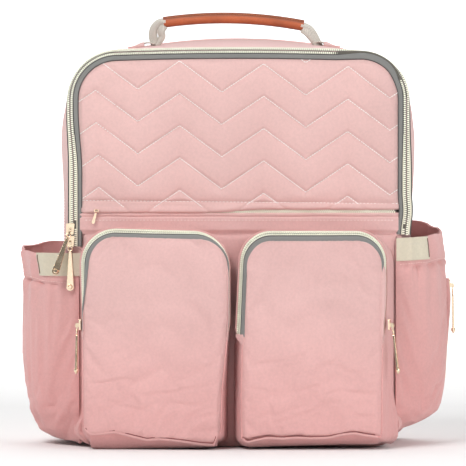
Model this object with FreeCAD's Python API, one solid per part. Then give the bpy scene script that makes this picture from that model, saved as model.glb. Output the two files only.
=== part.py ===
"""A backpack diaper bag: an upright padded bag with a U-zipped quilted lid, two zipped front pockets,
two elastic side pockets, a leather-wrapped top handle and two shoulder straps.

Frame: +Z up, the front faces -Y, +X is to the right seen from the front. The origin is the middle of the base on
the surface that the bag stands on. Millimetres. Each named node is written to parts/NODE.step.
"""

import FreeCAD, Part  # noqa: E401  FreeCAD has to be imported first
import math
import os

from FreeCAD import Placement, Rotation, Vector

# ---- driving dimensions -------------------------------------------------------------------------------------

WALL = 3.0  # lined fabric wall of the bag
POCKET_WALL = 2.0  # fabric wall of the outer pockets
CLEAR = 0.3  # the gap kept between pieces that only lie against each other

# The body narrows towards the front: the front outline is smaller than the back one.
FRONT = {"half": 169.0, "top": 400.0, "crown": 3500.0, "corner": 58.0}
BACK = {"half": 177.0, "top": 409.5, "crown": 580.0, "corner": 85.0}
BASE_CORNER = 30.0
BASE_TRAY = 20.0  # height at which the base fabric is sewn to the gusset

FRONT_Y = -66.0  # outer face of the front panels
GUSSET_Y0 = -63.0
GUSSET_Y1 = 62.0
BACK_Y = 68.0

# Lid: the upper front of the bag, hinged by its own fabric just above the front pockets.
FOLD_Z = 220.0
ZIP_END_Z = 200.0
RIGHT_ZIP_END_Z = 212.0  # the zip's right-hand end is sewn in under the side tab
PANEL_INSET = 14.2  # from the front outline in to the lid's panel
ZIP_CENTRE_INSET = 5.0
TOOTH_ROW = 3.8
TOOTH_GAP = 0.1
TEETH_Y0 = -67.0
TEETH_Y1 = -65.1
TAPE_Y1 = -63.2
SLIDER_BAY_Z = 226.0  # the lid's row starts above the upper slider
SLIT_Z0 = 235.5  # the slit of the front zip pocket
SLIT_Z1 = 238.5

# Front pockets: outlines where they are sewn on and at their faces, (x0, x1, z0, z1). lift is how far the
# slider stands off the side wall, so that the flap's teeth pass under it.
POCKETS = {
    "left": {"base": (-151.0, -11.0, 6.0, 213.0), "face": (-154.5, -7.5, 1.0, 219.0), "outer": -1, "lift": 1.0},
    "right": {"base": (1.5, 155.0, 6.0, 212.0), "face": (-1.5, 146.5, 1.0, 217.0), "outer": 1, "lift": 1.9},
}
POCKET_TOP_CORNER = 30.0
POCKET_BASE_CORNER = 9.0
POCKET_Y0 = FRONT_Y - CLEAR
POCKET_Y1 = -112.0
POCKET_FACE = 2.4
POCKET_FOLD_Z = 108.0
POCKET_ZIP_Y = -106.0  # the middle of the pocket zip, on the pocket's side wall

# Side pockets: (height, furthest x) from the sewn bottom up to the hem.
SIDE_POCKETS = {
    "left": {"sign": -1, "bulge": ((8.0, 180.0), (30.0, 203.0), (62.0, 211.0), (166.0, 211.0), (197.0, 213.0))},
    "right": {"sign": 1, "bulge": ((19.0, 178.0), (40.0, 201.0), (62.0, 209.0), (172.0, 210.0), (212.0, 204.0))},
}
SIDE_FRONT = (158.0, -69.5)  # x, y of the pocket's front seam
SIDE_BACK_Y = 57.0
SIDE_MIDDLE_Y = -6.0
HEM_HEIGHT = 29.0
TAB_END_X = 194.0
TAB_HEIGHT = 23.0

# Handle
HANDLE_Y = 20.0
HANDLE_AXIS_Z = 407.6
GRIP_LEFT = (-75.0, 425.0)
GRIP_TOP = (-4.0, 429.3)
GRIP_RIGHT = (67.0, 421.7)
GRIP_RADIUS = 4.7
CORE_RADIUS = 3.3
LEG_THICK = 5.2

# Shoulder straps, mirrored left and right
STRAP_TOP = (50.0, 386.0)  # x, z of the strap's top seam
STRAP_RADIUS = 873.0  # the strap curves gently outwards
STRAP_SWEEP = 17.4  # degrees
STRAP_HALF_WIDTH = 28.0
STRAP_Y0 = 71.2
STRAP_THICK = 12.0
STRAP_TILT = 22.0  # degrees by which the ladder lock leans outwards
LOCK_CENTRE = (99.5, 109.0)
ANCHOR = (146.0, 38.0)
WEBBING = 25.0
WEBBING_THICK = 1.6
BAR_RADIUS, BAR_Z = 1.75, 13.2  # the ladder lock's top bar, from its centre


# ---- helpers ------------------------------------------------------------------------------------------------


def save(name, *shapes):
    """Writes one node from its solids."""
    solids = [s for shape in shapes for s in shape.Solids]
    if not solids or any(not s.isValid() or s.Volume <= 0 for s in solids):
        raise SystemExit(f"{name}: a solid is missing or not valid")
    shape = solids[0] if len(solids) == 1 else Part.makeCompound(solids)
    shape.exportStep(os.path.join("parts", name + ".step"))


def block(x0, x1, y0, y1, z0, z1):
    return Part.makeBox(x1 - x0, y1 - y0, z1 - z0, Vector(x0, y0, z0))


def slab(shape, y0, y1, z0=-50.0, z1=600.0):
    """The part of a shape between two Y planes and two heights."""
    return shape.common(block(-400, 400, y0, y1, z0, z1))


def line(a, b):
    return Part.LineSegment(a, b).toShape()


def arc(a, b, c):
    return Part.Arc(a, b, c).toShape()


def prism(wire, y0, y1):
    """A flat solid from a wire drawn in the plane y0."""
    return Part.Face(wire).extrude(Vector(0, y1 - y0, 0))


def loft(*wires):
    return Part.makeLoft(list(wires), True, True)


def corner_arc(cx, cz, radius, start, end, y):
    """An arc about (cx, cz), from one angle to another in degrees, measured from +X towards +Z."""
    points = []
    for angle in (start, (start + end) / 2, end):
        a = math.radians(angle)
        points.append(Vector(cx + radius * math.cos(a), y, cz + radius * math.sin(a)))
    return arc(*points)


def arch(outline, y, inset=0.0, drop=0.0):
    """A closed wire in the plane y: flat base, upright sides, round shoulders and a crowned top.

    drop lowers the base, for a solid that is then cut off flat.
    """
    half, top = outline["half"] - inset, outline["top"] - inset
    crown, corner = outline["crown"] - inset, outline["corner"] - inset
    low, foot = inset - drop, BASE_CORNER - inset
    cx, middle = half - corner, top - crown
    cz = middle + math.sqrt((crown - corner) ** 2 - cx**2)
    lean = math.degrees(math.atan2(cz - middle, cx))
    edges = [
        line(Vector(-half + foot, y, low), Vector(half - foot, y, low)),
        corner_arc(half - foot, low + foot, foot, -90, 0, y),
        line(Vector(half, y, low + foot), Vector(half, y, cz)),
        corner_arc(cx, cz, corner, 0, lean, y),
        corner_arc(0, middle, crown, lean, 180 - lean, y),
        corner_arc(-cx, cz, corner, 180 - lean, 180, y),
        line(Vector(-half, y, cz), Vector(-half, y, low + foot)),
        corner_arc(-half + foot, low + foot, foot, 180, 270, y),
    ]
    return Part.Wire(edges)


def front_band(inset0, inset1, y0, y1):
    """A strip that follows the front outline, between two distances in from it."""
    outer = prism(arch(FRONT, y0, inset0), y0, y1)
    return outer.cut(prism(arch(FRONT, y0, inset1), y0, y1))


def front_plate(inset, y0, y1, z0, z1):
    return slab(prism(arch(FRONT, y0, inset), y0, y1), y0, y1, z0, z1)


def side_x(y):
    """Half width of the gusset's outer face at a depth y."""
    share = (y - GUSSET_Y0) / (GUSSET_Y1 - GUSSET_Y0)
    return FRONT["half"] + (BACK["half"] - FRONT["half"]) * min(max(share, 0.0), 1.0)


def envelope(inset, y0, y1):
    """The body as a filled solid, so that pieces outside it can be cut to its surface."""
    middle = loft(arch(FRONT, GUSSET_Y0, inset, 1.0), arch(BACK, GUSSET_Y1, inset, 1.0))
    front = prism(arch(FRONT, y0, inset, 1.0), y0, GUSSET_Y0)
    back = prism(arch(BACK, GUSSET_Y1, inset, 1.0), GUSSET_Y1, y1)
    return middle.fuse([front, back])


# ---- body ---------------------------------------------------------------------------------------------------


def build_body():
    """Gusset, base, back and the fixed lower front: the walls of the main compartment."""
    outer = loft(arch(FRONT, GUSSET_Y0, 0, 1.0), arch(BACK, GUSSET_Y1, 0, 1.0))
    inner = loft(arch(FRONT, GUSSET_Y0, WALL), arch(BACK, GUSSET_Y1, WALL))
    ring = outer.cut(inner)
    save("gusset", slab(ring, GUSSET_Y0, GUSSET_Y1, BASE_TRAY))
    save("base_panel", slab(ring, GUSSET_Y0, GUSSET_Y1, 0, BASE_TRAY))
    save("back_panel", prism(arch(BACK, GUSSET_Y1), GUSSET_Y1, BACK_Y))
    lower = front_plate(0, FRONT_Y, GUSSET_Y0, -1, ZIP_END_Z)
    throat = front_plate(PANEL_INSET, FRONT_Y, GUSSET_Y0, ZIP_END_Z, FOLD_Z - 0.2)
    right = front_plate(0, FRONT_Y, GUSSET_Y0, ZIP_END_Z, RIGHT_ZIP_END_Z)
    right = right.common(block(FRONT["half"] - PANEL_INSET, 200, FRONT_Y, GUSSET_Y0, 0, 300))
    save("front_lower_panel", lower.fuse([throat, right]).removeSplitter())


def build_inside():
    """Lining, back foam, base board and the elastic pocket on the back wall."""
    y0, y1, skin = -60.0, 54.0, 0.8
    share = (y1 - GUSSET_Y0) / (GUSSET_Y1 - GUSSET_Y0)
    rear = {k: FRONT[k] + (BACK[k] - FRONT[k]) * share for k in FRONT}
    outer = loft(arch(FRONT, y0, WALL + 1), arch(rear, y1, WALL + 3))
    inner = loft(arch(FRONT, y0, WALL + 1 + skin), arch(rear, y1, WALL + 3 + skin))
    sheet = prism(arch(rear, y1, WALL + 3), y1, y1 + skin)
    save("lining", outer.cut(inner).fuse(sheet))
    save("back_foam", prism(arch(rear, 56.0, 12.0), 56.0, GUSSET_Y1 - CLEAR))
    board = block(-148, 148, -54, 50, 8.0, 10.5)
    upright = [e for e in board.Edges if abs(e.tangentAt(e.FirstParameter).z) > 0.9]
    save("base_board", board.makeFillet(12, upright))
    pouch = block(-126, 126, 42, 53.5, 14, 190).cut(block(-124.5, 124.5, 43.5, 60, 15.5, 200))
    elastic = block(-126, 126, 40.6, 42, 178, 190)
    save("inner_pocket", pouch.fuse(elastic))


# ---- lid and main zip ---------------------------------------------------------------------------------------


def build_lid():
    """The quilted lid with its concealed front zip."""
    y1 = FRONT_Y + 2.5
    save("lid_quilted_panel", front_plate(PANEL_INSET, FRONT_Y, y1, SLIT_Z1, 500))
    save("lid_lower_strip", front_plate(PANEL_INSET, FRONT_Y, y1, FOLD_Z + 0.4, SLIT_Z0))
    tape = block(-152, 152, y1 + 0.1, y1 + 0.9, SLIT_Z0 - 5, SLIT_Z1 + 5)
    teeth = block(-150, 150, y1 - 2.0, y1 + 0.1, SLIT_Z0 + 0.2, SLIT_Z1 - 0.2)
    save("front_zip", tape.fuse(teeth))
    save("lid_lining", front_plate(PANEL_INSET + 1, y1 + 1.6, y1 + 2.6, FOLD_Z + 1, 500))


def build_main_zip():
    """The U-shaped zip: the outer half stays on the gusset, the inner half goes with the lid."""
    outer, inner = ZIP_CENTRE_INSET - TOOTH_GAP, ZIP_CENTRE_INSET + TOOTH_GAP
    outer_row = front_band(outer - TOOTH_ROW, outer, TEETH_Y0, TEETH_Y1)
    inner_row = front_band(inner, inner + TOOTH_ROW, TEETH_Y0, TEETH_Y1)
    outer_tape = front_band(0.4, outer - 0.3, TEETH_Y1, TAPE_Y1)
    lid_tape = front_band(6.5, PANEL_INSET - 0.1, TEETH_Y1, TAPE_Y1)
    outer_half = slab(outer_row.fuse(outer_tape), TEETH_Y0, TAPE_Y1, ZIP_END_Z)
    inner_half = inner_row.fuse(lid_tape)
    fixed = slab(inner_half, TEETH_Y0, TAPE_Y1, ZIP_END_Z, FOLD_Z - 0.5)
    under_tab = block(100, 200, TEETH_Y0, TAPE_Y1, 0, RIGHT_ZIP_END_Z + 0.1)
    save("main_zip_outer_half", outer_half.cut(under_tab), fixed.cut(under_tab))
    slider_bay = block(-FRONT["half"], -100, TEETH_Y0 - 1, TEETH_Y1, FOLD_Z, SLIDER_BAY_Z)
    save("main_zip_lid_half", slab(inner_half, TEETH_Y0, TAPE_Y1, FOLD_Z + 1).cut(slider_bay))


# ---- zip sliders and pulls ----------------------------------------------------------------------------------

PIN_Y, PIN_Z, PIN_RADIUS = -4.4, -1.0, 0.7  # the pull's pin, in the slider's own frame


def tapered_plate(half_top, half_low, length, y0, y1, radius):
    """A slider's cover: a plate wider at its head than at its tail."""
    top, low = length * 0.5, -length * 0.5
    corners = [(-half_low, low), (half_low, low), (half_top, top), (-half_top, top)]
    points = [Vector(x, y0, z) for x, z in corners]
    plate = Part.Face(Part.makePolygon(points + points[:1])).extrude(Vector(0, y1 - y0, 0))
    upright = [e for e in plate.Edges if abs(e.tangentAt(e.FirstParameter).y) > 0.9]
    return plate.makeFillet(radius, upright)


def slider(flange=0.0):
    """A zip slider: cover plate, two ears and the pin that carries the pull. It faces -Y and travels along Z."""
    plate = tapered_plate(4.4, 3.2, 11.0, -2.2, -0.4, 1.2)
    ears = [block(x - 0.4, x + 0.4, PIN_Y - 1.1, -2.0, PIN_Z - 1.1, PIN_Z + 2.6) for x in (-1.9, 1.9)]
    pin = Part.makeCylinder(PIN_RADIUS, 4.6, Vector(-2.3, PIN_Y, PIN_Z), Vector(1, 0, 0))
    body = plate.fuse(ears + [pin])
    if flange:
        body = body.fuse(block(-4.3, -2.9, -1.0, flange, -4.2, 4.2))
    return body.removeSplitter()


def drop_plate(top, low, r_top, r_low, y0, y1):
    """A drop-shaped plate: a small round top and a larger round end, joined by tangent sides."""
    lean = math.asin((r_low - r_top) / (top - low))
    cos, sin = math.cos(lean), math.sin(lean)
    right_top = Vector(r_top * cos, y0, top + r_top * sin)
    right_low = Vector(r_low * cos, y0, low + r_low * sin)
    left_top, left_low = Vector(-right_top.x, y0, right_top.z), Vector(-right_low.x, y0, right_low.z)
    wire = Part.Wire(
        [
            line(right_low, right_top),
            arc(right_top, Vector(0, y0, top + r_top), left_top),
            line(left_top, left_low),
            arc(left_low, Vector(0, y0, low - r_low), right_low),
        ]
    )
    return prism(wire, y0, y1)


def pull(blade=34.0, lean=0.0):
    """A metal pull about its own pin: eye, ring link and a drop-shaped blade that ends in a round bead.

    lean is the angle in degrees by which everything below the eye hangs to one side.
    """
    eye = Part.makeCylinder(1.9, 2.4, Vector(-1.2, 0, 0), Vector(1, 0, 0))
    neck = block(-0.9, 0.9, -0.7, 0.7, -4.4, -1.2)
    hole = Part.makeCylinder(PIN_RADIUS + 0.1, 6, Vector(-3, 0, 0), Vector(1, 0, 0))
    ring = Part.makeTorus(2.1, 0.75, Vector(0, 0, -6.2), Vector(0, 1, 0))
    top, low, r_top, r_low = -10.4, -10.4 - blade, 1.7, 3.9
    plate = drop_plate(top, low, r_top, r_low, -1.0, 1.0)
    rim = plate.makeFillet(0.45, plate.Edges)
    for y0, y1 in ((-1.4, -0.55), (0.55, 1.4)):
        rim = rim.cut(drop_plate(top - 2, low + 1, r_top * 0.5, r_low * 0.6, y0, y1))
    bead = Part.makeSphere(2.6, Vector(0, 0, low))
    bead = bead.common(block(-3, 3, -2.1, 2.1, low - 3, low + 3))
    hanging = neck.fuse([ring, rim, bead])
    hanging.rotate(Vector(), Vector(0, 1, 0), lean)
    return eye.fuse(hanging).cut(hole).removeSplitter()


def placed(shape, position, turn=(0.0, 0.0, 0.0)):
    """A copy turned about Z, Y and X, in degrees, then moved."""
    copy = shape.copy()
    copy.Placement = Placement(Vector(*position), Rotation(*turn))
    return copy


def zip_pull_pair(name, position, heading, swing, lean=0.0, flange=0.0):
    """Saves a slider and its pull.

    heading turns both about Z. swing is how far the pull stands away from the bag, and lean how far it hangs
    to one side, all in degrees.
    """
    frame = Placement(Vector(*position), Rotation(heading, 0, 0))
    body = slider(flange)
    body.Placement = frame
    save(name + "_slider", body)
    hanging = pull(34.0, lean)
    hanging.Placement = frame.multiply(Placement(Vector(0, PIN_Y, PIN_Z), Rotation(0, 0, -swing)))
    save(name + "_pull", hanging)


def build_sliders():
    slider_x = -(FRONT["half"] - 1.8)
    zip_pull_pair("main_upper", (slider_x, TEETH_Y0, 218.2), 0, 13.0, lean=18.5, flange=3.6)
    zip_pull_pair("main_lower", (slider_x, TEETH_Y0, 205.6), 0, 1.0, lean=0.0, flange=3.6)
    front_zip_slider()
    for side, pocket in POCKETS.items():
        x, turn = pocket_wall(pocket)
        swing = {"left": 1.0, "right": 7.0}[side]
        zip_pull_pair(side + "_pocket", (x, POCKET_ZIP_Y, 124.0), turn, swing)
    zip_pull_pair("side_zip", (213.4, SIDE_MIDDLE_Y, 160.0), 90.0, 1.0)


def front_zip_slider():
    """The front pocket's slider travels along X; its short pull hangs over the strip below the slit."""
    centre = ((SLIT_Z0 + SLIT_Z1) / 2, -141.0)
    frame = Placement(Vector(centre[1], FRONT_Y, centre[0]), Rotation())
    plate = tapered_plate(3.0, 3.0, 4.4, -2.2, -CLEAR, 1.0)
    ears = [block(x - 0.4, x + 0.4, PIN_Y - 1.1, -2.0, PIN_Z - 1.1, PIN_Z + 1.4) for x in (-1.9, 1.9)]
    pin = Part.makeCylinder(PIN_RADIUS, 4.6, Vector(-2.3, PIN_Y, PIN_Z), Vector(1, 0, 0))
    body = plate.fuse(ears + [pin]).removeSplitter()
    body.Placement = frame
    save("front_zip_slider", body)
    eye = Part.makeCylinder(1.9, 2.4, Vector(-1.2, 0, 0), Vector(1, 0, 0))
    hole = Part.makeCylinder(PIN_RADIUS + 0.1, 6, Vector(-3, 0, 0), Vector(1, 0, 0))
    bar = drop_plate(-2.4, -11.5, 0.9, 1.6, -0.8, 0.8)
    bar.rotate(Vector(), Vector(0, 1, 0), 16.0)
    hanging = eye.fuse(bar).cut(hole).removeSplitter()
    hanging.Placement = frame.multiply(Placement(Vector(0, PIN_Y, PIN_Z), Rotation()))
    save("front_zip_pull", hanging)


# ---- front pockets ------------------------------------------------------------------------------------------


def pocket_wire(outline, y, inset):
    """A pocket's outline in the plane y: large round top corners and small bottom ones."""
    x0, x1 = outline[0] + inset, outline[1] - inset
    z0, z1 = outline[2] + inset, outline[3] - inset
    top, low = POCKET_TOP_CORNER - inset, POCKET_BASE_CORNER - inset
    return Part.Wire(
        [
            line(Vector(x0 + low, y, z0), Vector(x1 - low, y, z0)),
            corner_arc(x1 - low, z0 + low, low, -90, 0, y),
            line(Vector(x1, y, z0 + low), Vector(x1, y, z1 - top)),
            corner_arc(x1 - top, z1 - top, top, 0, 90, y),
            line(Vector(x1 - top, y, z1), Vector(x0 + top, y, z1)),
            corner_arc(x0 + top, z1 - top, top, 90, 180, y),
            line(Vector(x0, y, z1 - top), Vector(x0, y, z0 + low)),
            corner_arc(x0 + low, z0 + low, low, 180, 270, y),
        ]
    )


def pocket_solid(pocket, inset):
    return loft(
        pocket_wire(pocket["base"], POCKET_Y0, inset),
        pocket_wire(pocket["face"], POCKET_Y1, inset),
    )


def pocket_wall(pocket):
    """Where the pocket's zip runs on its outer wall: x of the teeth, and the wall's heading in degrees."""
    side = 0 if pocket["outer"] < 0 else 1
    share = (POCKET_ZIP_Y - POCKET_Y0) / (POCKET_Y1 - POCKET_Y0)
    base_x, face_x = pocket["base"][side], pocket["face"][side]
    x = base_x + (face_x - base_x) * share + pocket["outer"] * pocket["lift"]
    slant = math.degrees(math.atan2(face_x - base_x, POCKET_Y0 - POCKET_Y1))
    return x, pocket["outer"] * 90.0 + slant


def build_pockets():
    """Each pocket: a gusset, a fixed lower front, and an upper front that folds out below its zip."""
    zip_front, zip_back = POCKET_ZIP_Y - 2.0, POCKET_ZIP_Y + 2.0
    face_in = POCKET_Y1 + POCKET_FACE
    for side, pocket in POCKETS.items():
        solid = pocket_solid(pocket, 0)
        shell = solid.cut(pocket_solid(pocket, POCKET_WALL))
        face = slab(solid, POCKET_Y1, face_in)
        save(side + "_pocket_gusset", slab(shell, zip_back, POCKET_Y0))
        low_rim = slab(shell, face_in, zip_back, -1, POCKET_FOLD_Z - 0.2)
        low_face = slab(face, POCKET_Y1, face_in, -1, POCKET_FOLD_Z - 0.2)
        save(side + "_pocket_front", low_face.fuse(low_rim))
        rim = slab(shell, face_in, zip_front, POCKET_FOLD_Z + 0.4)
        flap = slab(face, POCKET_Y1, face_in, POCKET_FOLD_Z + 0.4)
        save(side + "_pocket_flap", flap.fuse(rim))
        teeth = pocket_solid(pocket, -1.0).cut(pocket_solid(pocket, 1.0))
        flap_row = (zip_front + 0.05, POCKET_ZIP_Y - TOOTH_GAP)
        gusset_row = (POCKET_ZIP_Y + TOOTH_GAP, zip_back - 0.05)
        save(side + "_pocket_flap_teeth", slab(teeth, *flap_row, POCKET_FOLD_Z + 0.6))
        save(side + "_pocket_gusset_teeth", slab(teeth, *gusset_row, POCKET_FOLD_Z + 0.6))


# ---- side pockets -------------------------------------------------------------------------------------------


def side_section(sign, z, bulge, grow):
    """A pocket's cross-section at a height: bowed outwards, closed by a chord inside the body."""
    lift = min(max((z - 20.0) / 20.0, 0.0), 1.0)
    front_x, front_y = SIDE_FRONT[0], SIDE_FRONT[1] + 8.0 * (1.0 - lift) - grow
    back_x, back_y = side_x(SIDE_BACK_Y) + grow, SIDE_BACK_Y + grow * 0.5
    a = Vector(sign * front_x, front_y, z)
    m = Vector(sign * (bulge + grow), SIDE_MIDDLE_Y, z)
    b = Vector(sign * back_x, back_y, z)
    inner_b, inner_a = Vector(sign * 150.0, back_y, z), Vector(sign * 150.0, front_y, z)
    return Part.Wire([arc(a, m, b), line(b, inner_b), line(inner_b, inner_a), line(inner_a, a)])


def side_solid(pocket, grow, extra_z=0.0):
    wires = [side_section(pocket["sign"], z, bulge, grow) for z, bulge in pocket["bulge"]]
    if extra_z:
        z, bulge = pocket["bulge"][-1]
        wires.append(side_section(pocket["sign"], z + extra_z, bulge, grow))
    return loft(*wires)


def build_side_pockets():
    """Each pocket: a bellows pouch, its elastic hem, and the webbing tab sewn over the hem's front end."""
    body = envelope(-CLEAR, FRONT_Y - CLEAR, BACK_Y + CLEAR)
    for side, pocket in SIDE_POCKETS.items():
        sign, top = pocket["sign"], pocket["bulge"][-1][0]
        outer, inner = side_solid(pocket, 0), side_solid(pocket, -POCKET_WALL, 1.0)
        inner = inner.common(block(-400, 400, -200, 200, pocket["bulge"][0][0] + POCKET_WALL, 400))
        x0, x1 = sorted((sign * 140, sign * SIDE_FRONT[0]))
        low_lip = block(x0, x1, -200, 0, 0, 400)
        shell = outer.cut(inner).cut(body).cut(low_lip)
        pouch = slab(shell, -200, 200, 0, top - HEM_HEIGHT)
        save(f"side_pocket_{side}", largest(pouch))
        hem = slab(shell, -200, 200, top - HEM_HEIGHT)
        save(f"side_pocket_{side}_hem", largest(hem))
        cover = side_solid(pocket, 2.0).cut(side_solid(pocket, 0.2)).cut(body)
        x0, x1 = sorted((sign * SIDE_FRONT[0], sign * TAB_END_X))
        z1 = top - 3.0
        tab = cover.common(block(x0, x1, -200, SIDE_MIDDLE_Y, z1 - TAB_HEIGHT, z1))
        save(f"side_tab_{side}", largest(tab))


def largest(shape):
    return max(shape.Solids, key=lambda s: s.Volume)


def build_side_zip():
    """A short upright zip on the face of the right side pocket."""
    x = SIDE_POCKETS["right"]["bulge"][3][1]
    y = SIDE_MIDDLE_Y
    tape = block(x + 0.2, x + 1.2, y - 9, y + 9, 64, 169)
    save("side_zip", tape.fuse(block(x + 1.2, x + 3.0, y - 2.6, y + 2.6, 66, 167)))


# ---- handle -------------------------------------------------------------------------------------------------


def grip_arc():
    """The grip's centre line as a circle in the plane y = HANDLE_Y: centre x, centre z and radius."""
    points = [Vector(x, HANDLE_Y, z) for x, z in (GRIP_LEFT, GRIP_TOP, GRIP_RIGHT)]
    curve = arc(*points).Curve
    return curve.Center, curve.Radius


def revolve_along_grip(face_wire, centre, x0, x1, radius):
    """Turns a section drawn above the circle's centre through the grip's length."""
    start = math.degrees(math.asin((x0 - centre.x) / radius))
    end = math.degrees(math.asin((x1 - centre.x) / radius))
    face = Part.Face(face_wire)
    face.rotate(centre, Vector(0, 1, 0), start)
    return face.revolve(centre, Vector(0, 1, 0), end - start)


def circle_wire(centre, radius, height, r):
    at = Vector(centre.x, HANDLE_Y, centre.z + radius + height)
    return Part.Wire(Part.makeCircle(r, at, Vector(1, 0, 0)))


def build_handle():
    centre, radius = grip_arc()
    x0, x1 = GRIP_LEFT[0], GRIP_RIGHT[0]
    tube = revolve_along_grip(circle_wire(centre, radius, 0, GRIP_RADIUS), centre, x0, x1, radius)
    z = centre.z + radius
    profile = ((-1.3, 0), (1.3, 0), (1.1, 6.2), (-1.1, 6.2), (-1.3, 0))
    fin = Part.makePolygon([Vector(centre.x, HANDLE_Y + y, z + h) for y, h in profile])
    leather = tube.fuse(revolve_along_grip(fin, centre, x0, x1, radius))
    bore_wire, core_wire = (circle_wire(centre, radius, 0, CORE_RADIUS + gap) for gap in (0.1, 0))
    bore = revolve_along_grip(bore_wire, centre, x0 - 2, x1 + 2, radius)
    save("handle_grip", leather.cut(bore).removeSplitter())

    core = revolve_along_grip(core_wire, centre, x0 - 3, x1 + 3, radius)
    legs = [handle_leg(GRIP_LEFT, -1), handle_leg(GRIP_RIGHT, 1)]
    save("handle_webbing", core.fuse(legs).removeSplitter())

    anchors, patches = [], []
    for x, lean in ((-89.0, -5.0), (84.0, 5.0)):
        strip = Part.makeBox(22, 12, 1.3, Vector(-11, -6, 0))
        anchors.append(placed(strip, (x, HANDLE_Y, 402.5), (0, lean, 0)))
        outwards = math.copysign(1.0, x)
        patch = Part.makeBox(15, 26, 1.5, Vector(-7.5, -13, 0))
        patches.append(placed(patch, (x + outwards * 19.5, HANDLE_Y, 400.6), (0, lean * 1.8, 0)))
    save("handle_anchor_webbing", *anchors)
    save("handle_anchor_patches", *patches)


def handle_leg(end, sign):
    """Folded webbing from the grip's end down to the round seam that the handle swings on."""
    x, z = end
    y0, y1 = HANDLE_Y - LEG_THICK / 2, HANDLE_Y + LEG_THICK / 2
    outer = [(x + sign * 0.4, z + 4.4), (x + sign * 7.6, z - 2.0), (x + sign * 10.6, HANDLE_AXIS_Z)]
    inner = [(x + sign * 2.4, HANDLE_AXIS_Z), (x + sign * 1.4, z - 9.0), (x + sign * 0.4, z - 4.6)]
    up = [Vector(px, y0, pz) for px, pz in outer]
    down = [Vector(px, y0, pz) for px, pz in inner]
    wire = Part.Wire([arc(*up), line(up[-1], down[0]), arc(*down), line(down[-1], up[0])])
    foot_x = min(outer[-1][0], inner[0][0])
    foot = Part.makeCylinder(LEG_THICK / 2, 8.2, Vector(foot_x, HANDLE_Y, HANDLE_AXIS_Z), Vector(1, 0, 0))
    return prism(wire, y0, y1).fuse(foot)


# ---- shoulder straps ----------------------------------------------------------------------------------------


def strap_pad():
    """The padded strap of the right-hand side, curving outwards from its top seam."""
    cx, cz = STRAP_TOP[0] + STRAP_RADIUS, STRAP_TOP[1]
    y0, y1 = STRAP_Y0, STRAP_Y0 + STRAP_THICK
    inner_r, outer_r = STRAP_RADIUS + STRAP_HALF_WIDTH, STRAP_RADIUS - STRAP_HALF_WIDTH
    a0, a1 = 180.0, 180.0 + STRAP_SWEEP
    far, near = corner_arc(cx, cz, inner_r, a0, a1, y0), corner_arc(cx, cz, outer_r, a1, a0, y0)
    ends = [e.valueAt(p) for e in (far, near) for p in (e.FirstParameter, e.LastParameter)]
    wire = Part.Wire([far, line(ends[1], ends[2]), near, line(ends[3], ends[0])])
    pad = prism(wire, y0, y1)
    corners = [e for e in pad.Edges if abs(e.tangentAt(e.FirstParameter).y) > 0.9 and e.CenterOfMass.z < 200]
    pad = pad.makeFillet(16.0, corners)
    long_edges = [e for e in pad.Edges if e.Length > 100]
    pad = pad.makeFillet(4.0, long_edges)
    seam = Vector(STRAP_TOP[0] - STRAP_HALF_WIDTH, y0 + STRAP_THICK / 2, cz)
    top = Part.makeCylinder(STRAP_THICK / 2, 2 * STRAP_HALF_WIDTH, seam, Vector(1, 0, 0))
    return pad.fuse(top).removeSplitter()


def ladder_lock():
    """A moulded ladder-lock buckle: a frame with slots between its bars, drawn upright about its own centre."""
    frame = block(-17, 17, -2.4, 2.4, -15, 15)
    uprights = [e for e in frame.Edges if abs(e.tangentAt(e.FirstParameter).y) > 0.9]
    frame = frame.makeFillet(4.0, uprights)
    for z0, z1 in ((6.0, 16.0), (-2.5, 2.5), (-10.5, -6.0)):
        frame = frame.cut(block(-13.2, 13.2, -4, 4, z0, z1))
    return frame.fuse(Part.makeCylinder(BAR_RADIUS, 28, Vector(-14, 0, BAR_Z), Vector(1, 0, 0)))


def webbing_loop():
    """The strap's short loop of webbing, folded round the ladder lock's top bar, in the lock's own frame."""
    half = WEBBING / 2
    outside = BAR_RADIUS + 0.1 + WEBBING_THICK
    fold = Part.makeCylinder(outside, WEBBING, Vector(-half, 0, BAR_Z), Vector(1, 0, 0))
    points = [Vector(-half, y, z) for y, z in ((-outside, BAR_Z), (outside, BAR_Z), (1.6, 27.0), (-1.6, 27.0))]
    sheets = Part.Face(Part.makePolygon(points + points[:1])).extrude(Vector(WEBBING, 0, 0))
    bore = Part.makeCylinder(BAR_RADIUS + 0.1, WEBBING + 2, Vector(-half - 1, 0, BAR_Z), Vector(1, 0, 0))
    return fold.fuse(sheets).cut(bore)


def strap_band(x, z, angle, length, y0, y1):
    """Flat webbing centred at (x, z), turned in the plane of the back by an angle from upright."""
    band = Part.makeBox(WEBBING, y1 - y0, length, Vector(-WEBBING / 2, 0, -length / 2))
    return placed(band, (x, y0, z), (0, -angle, 0))


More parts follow.
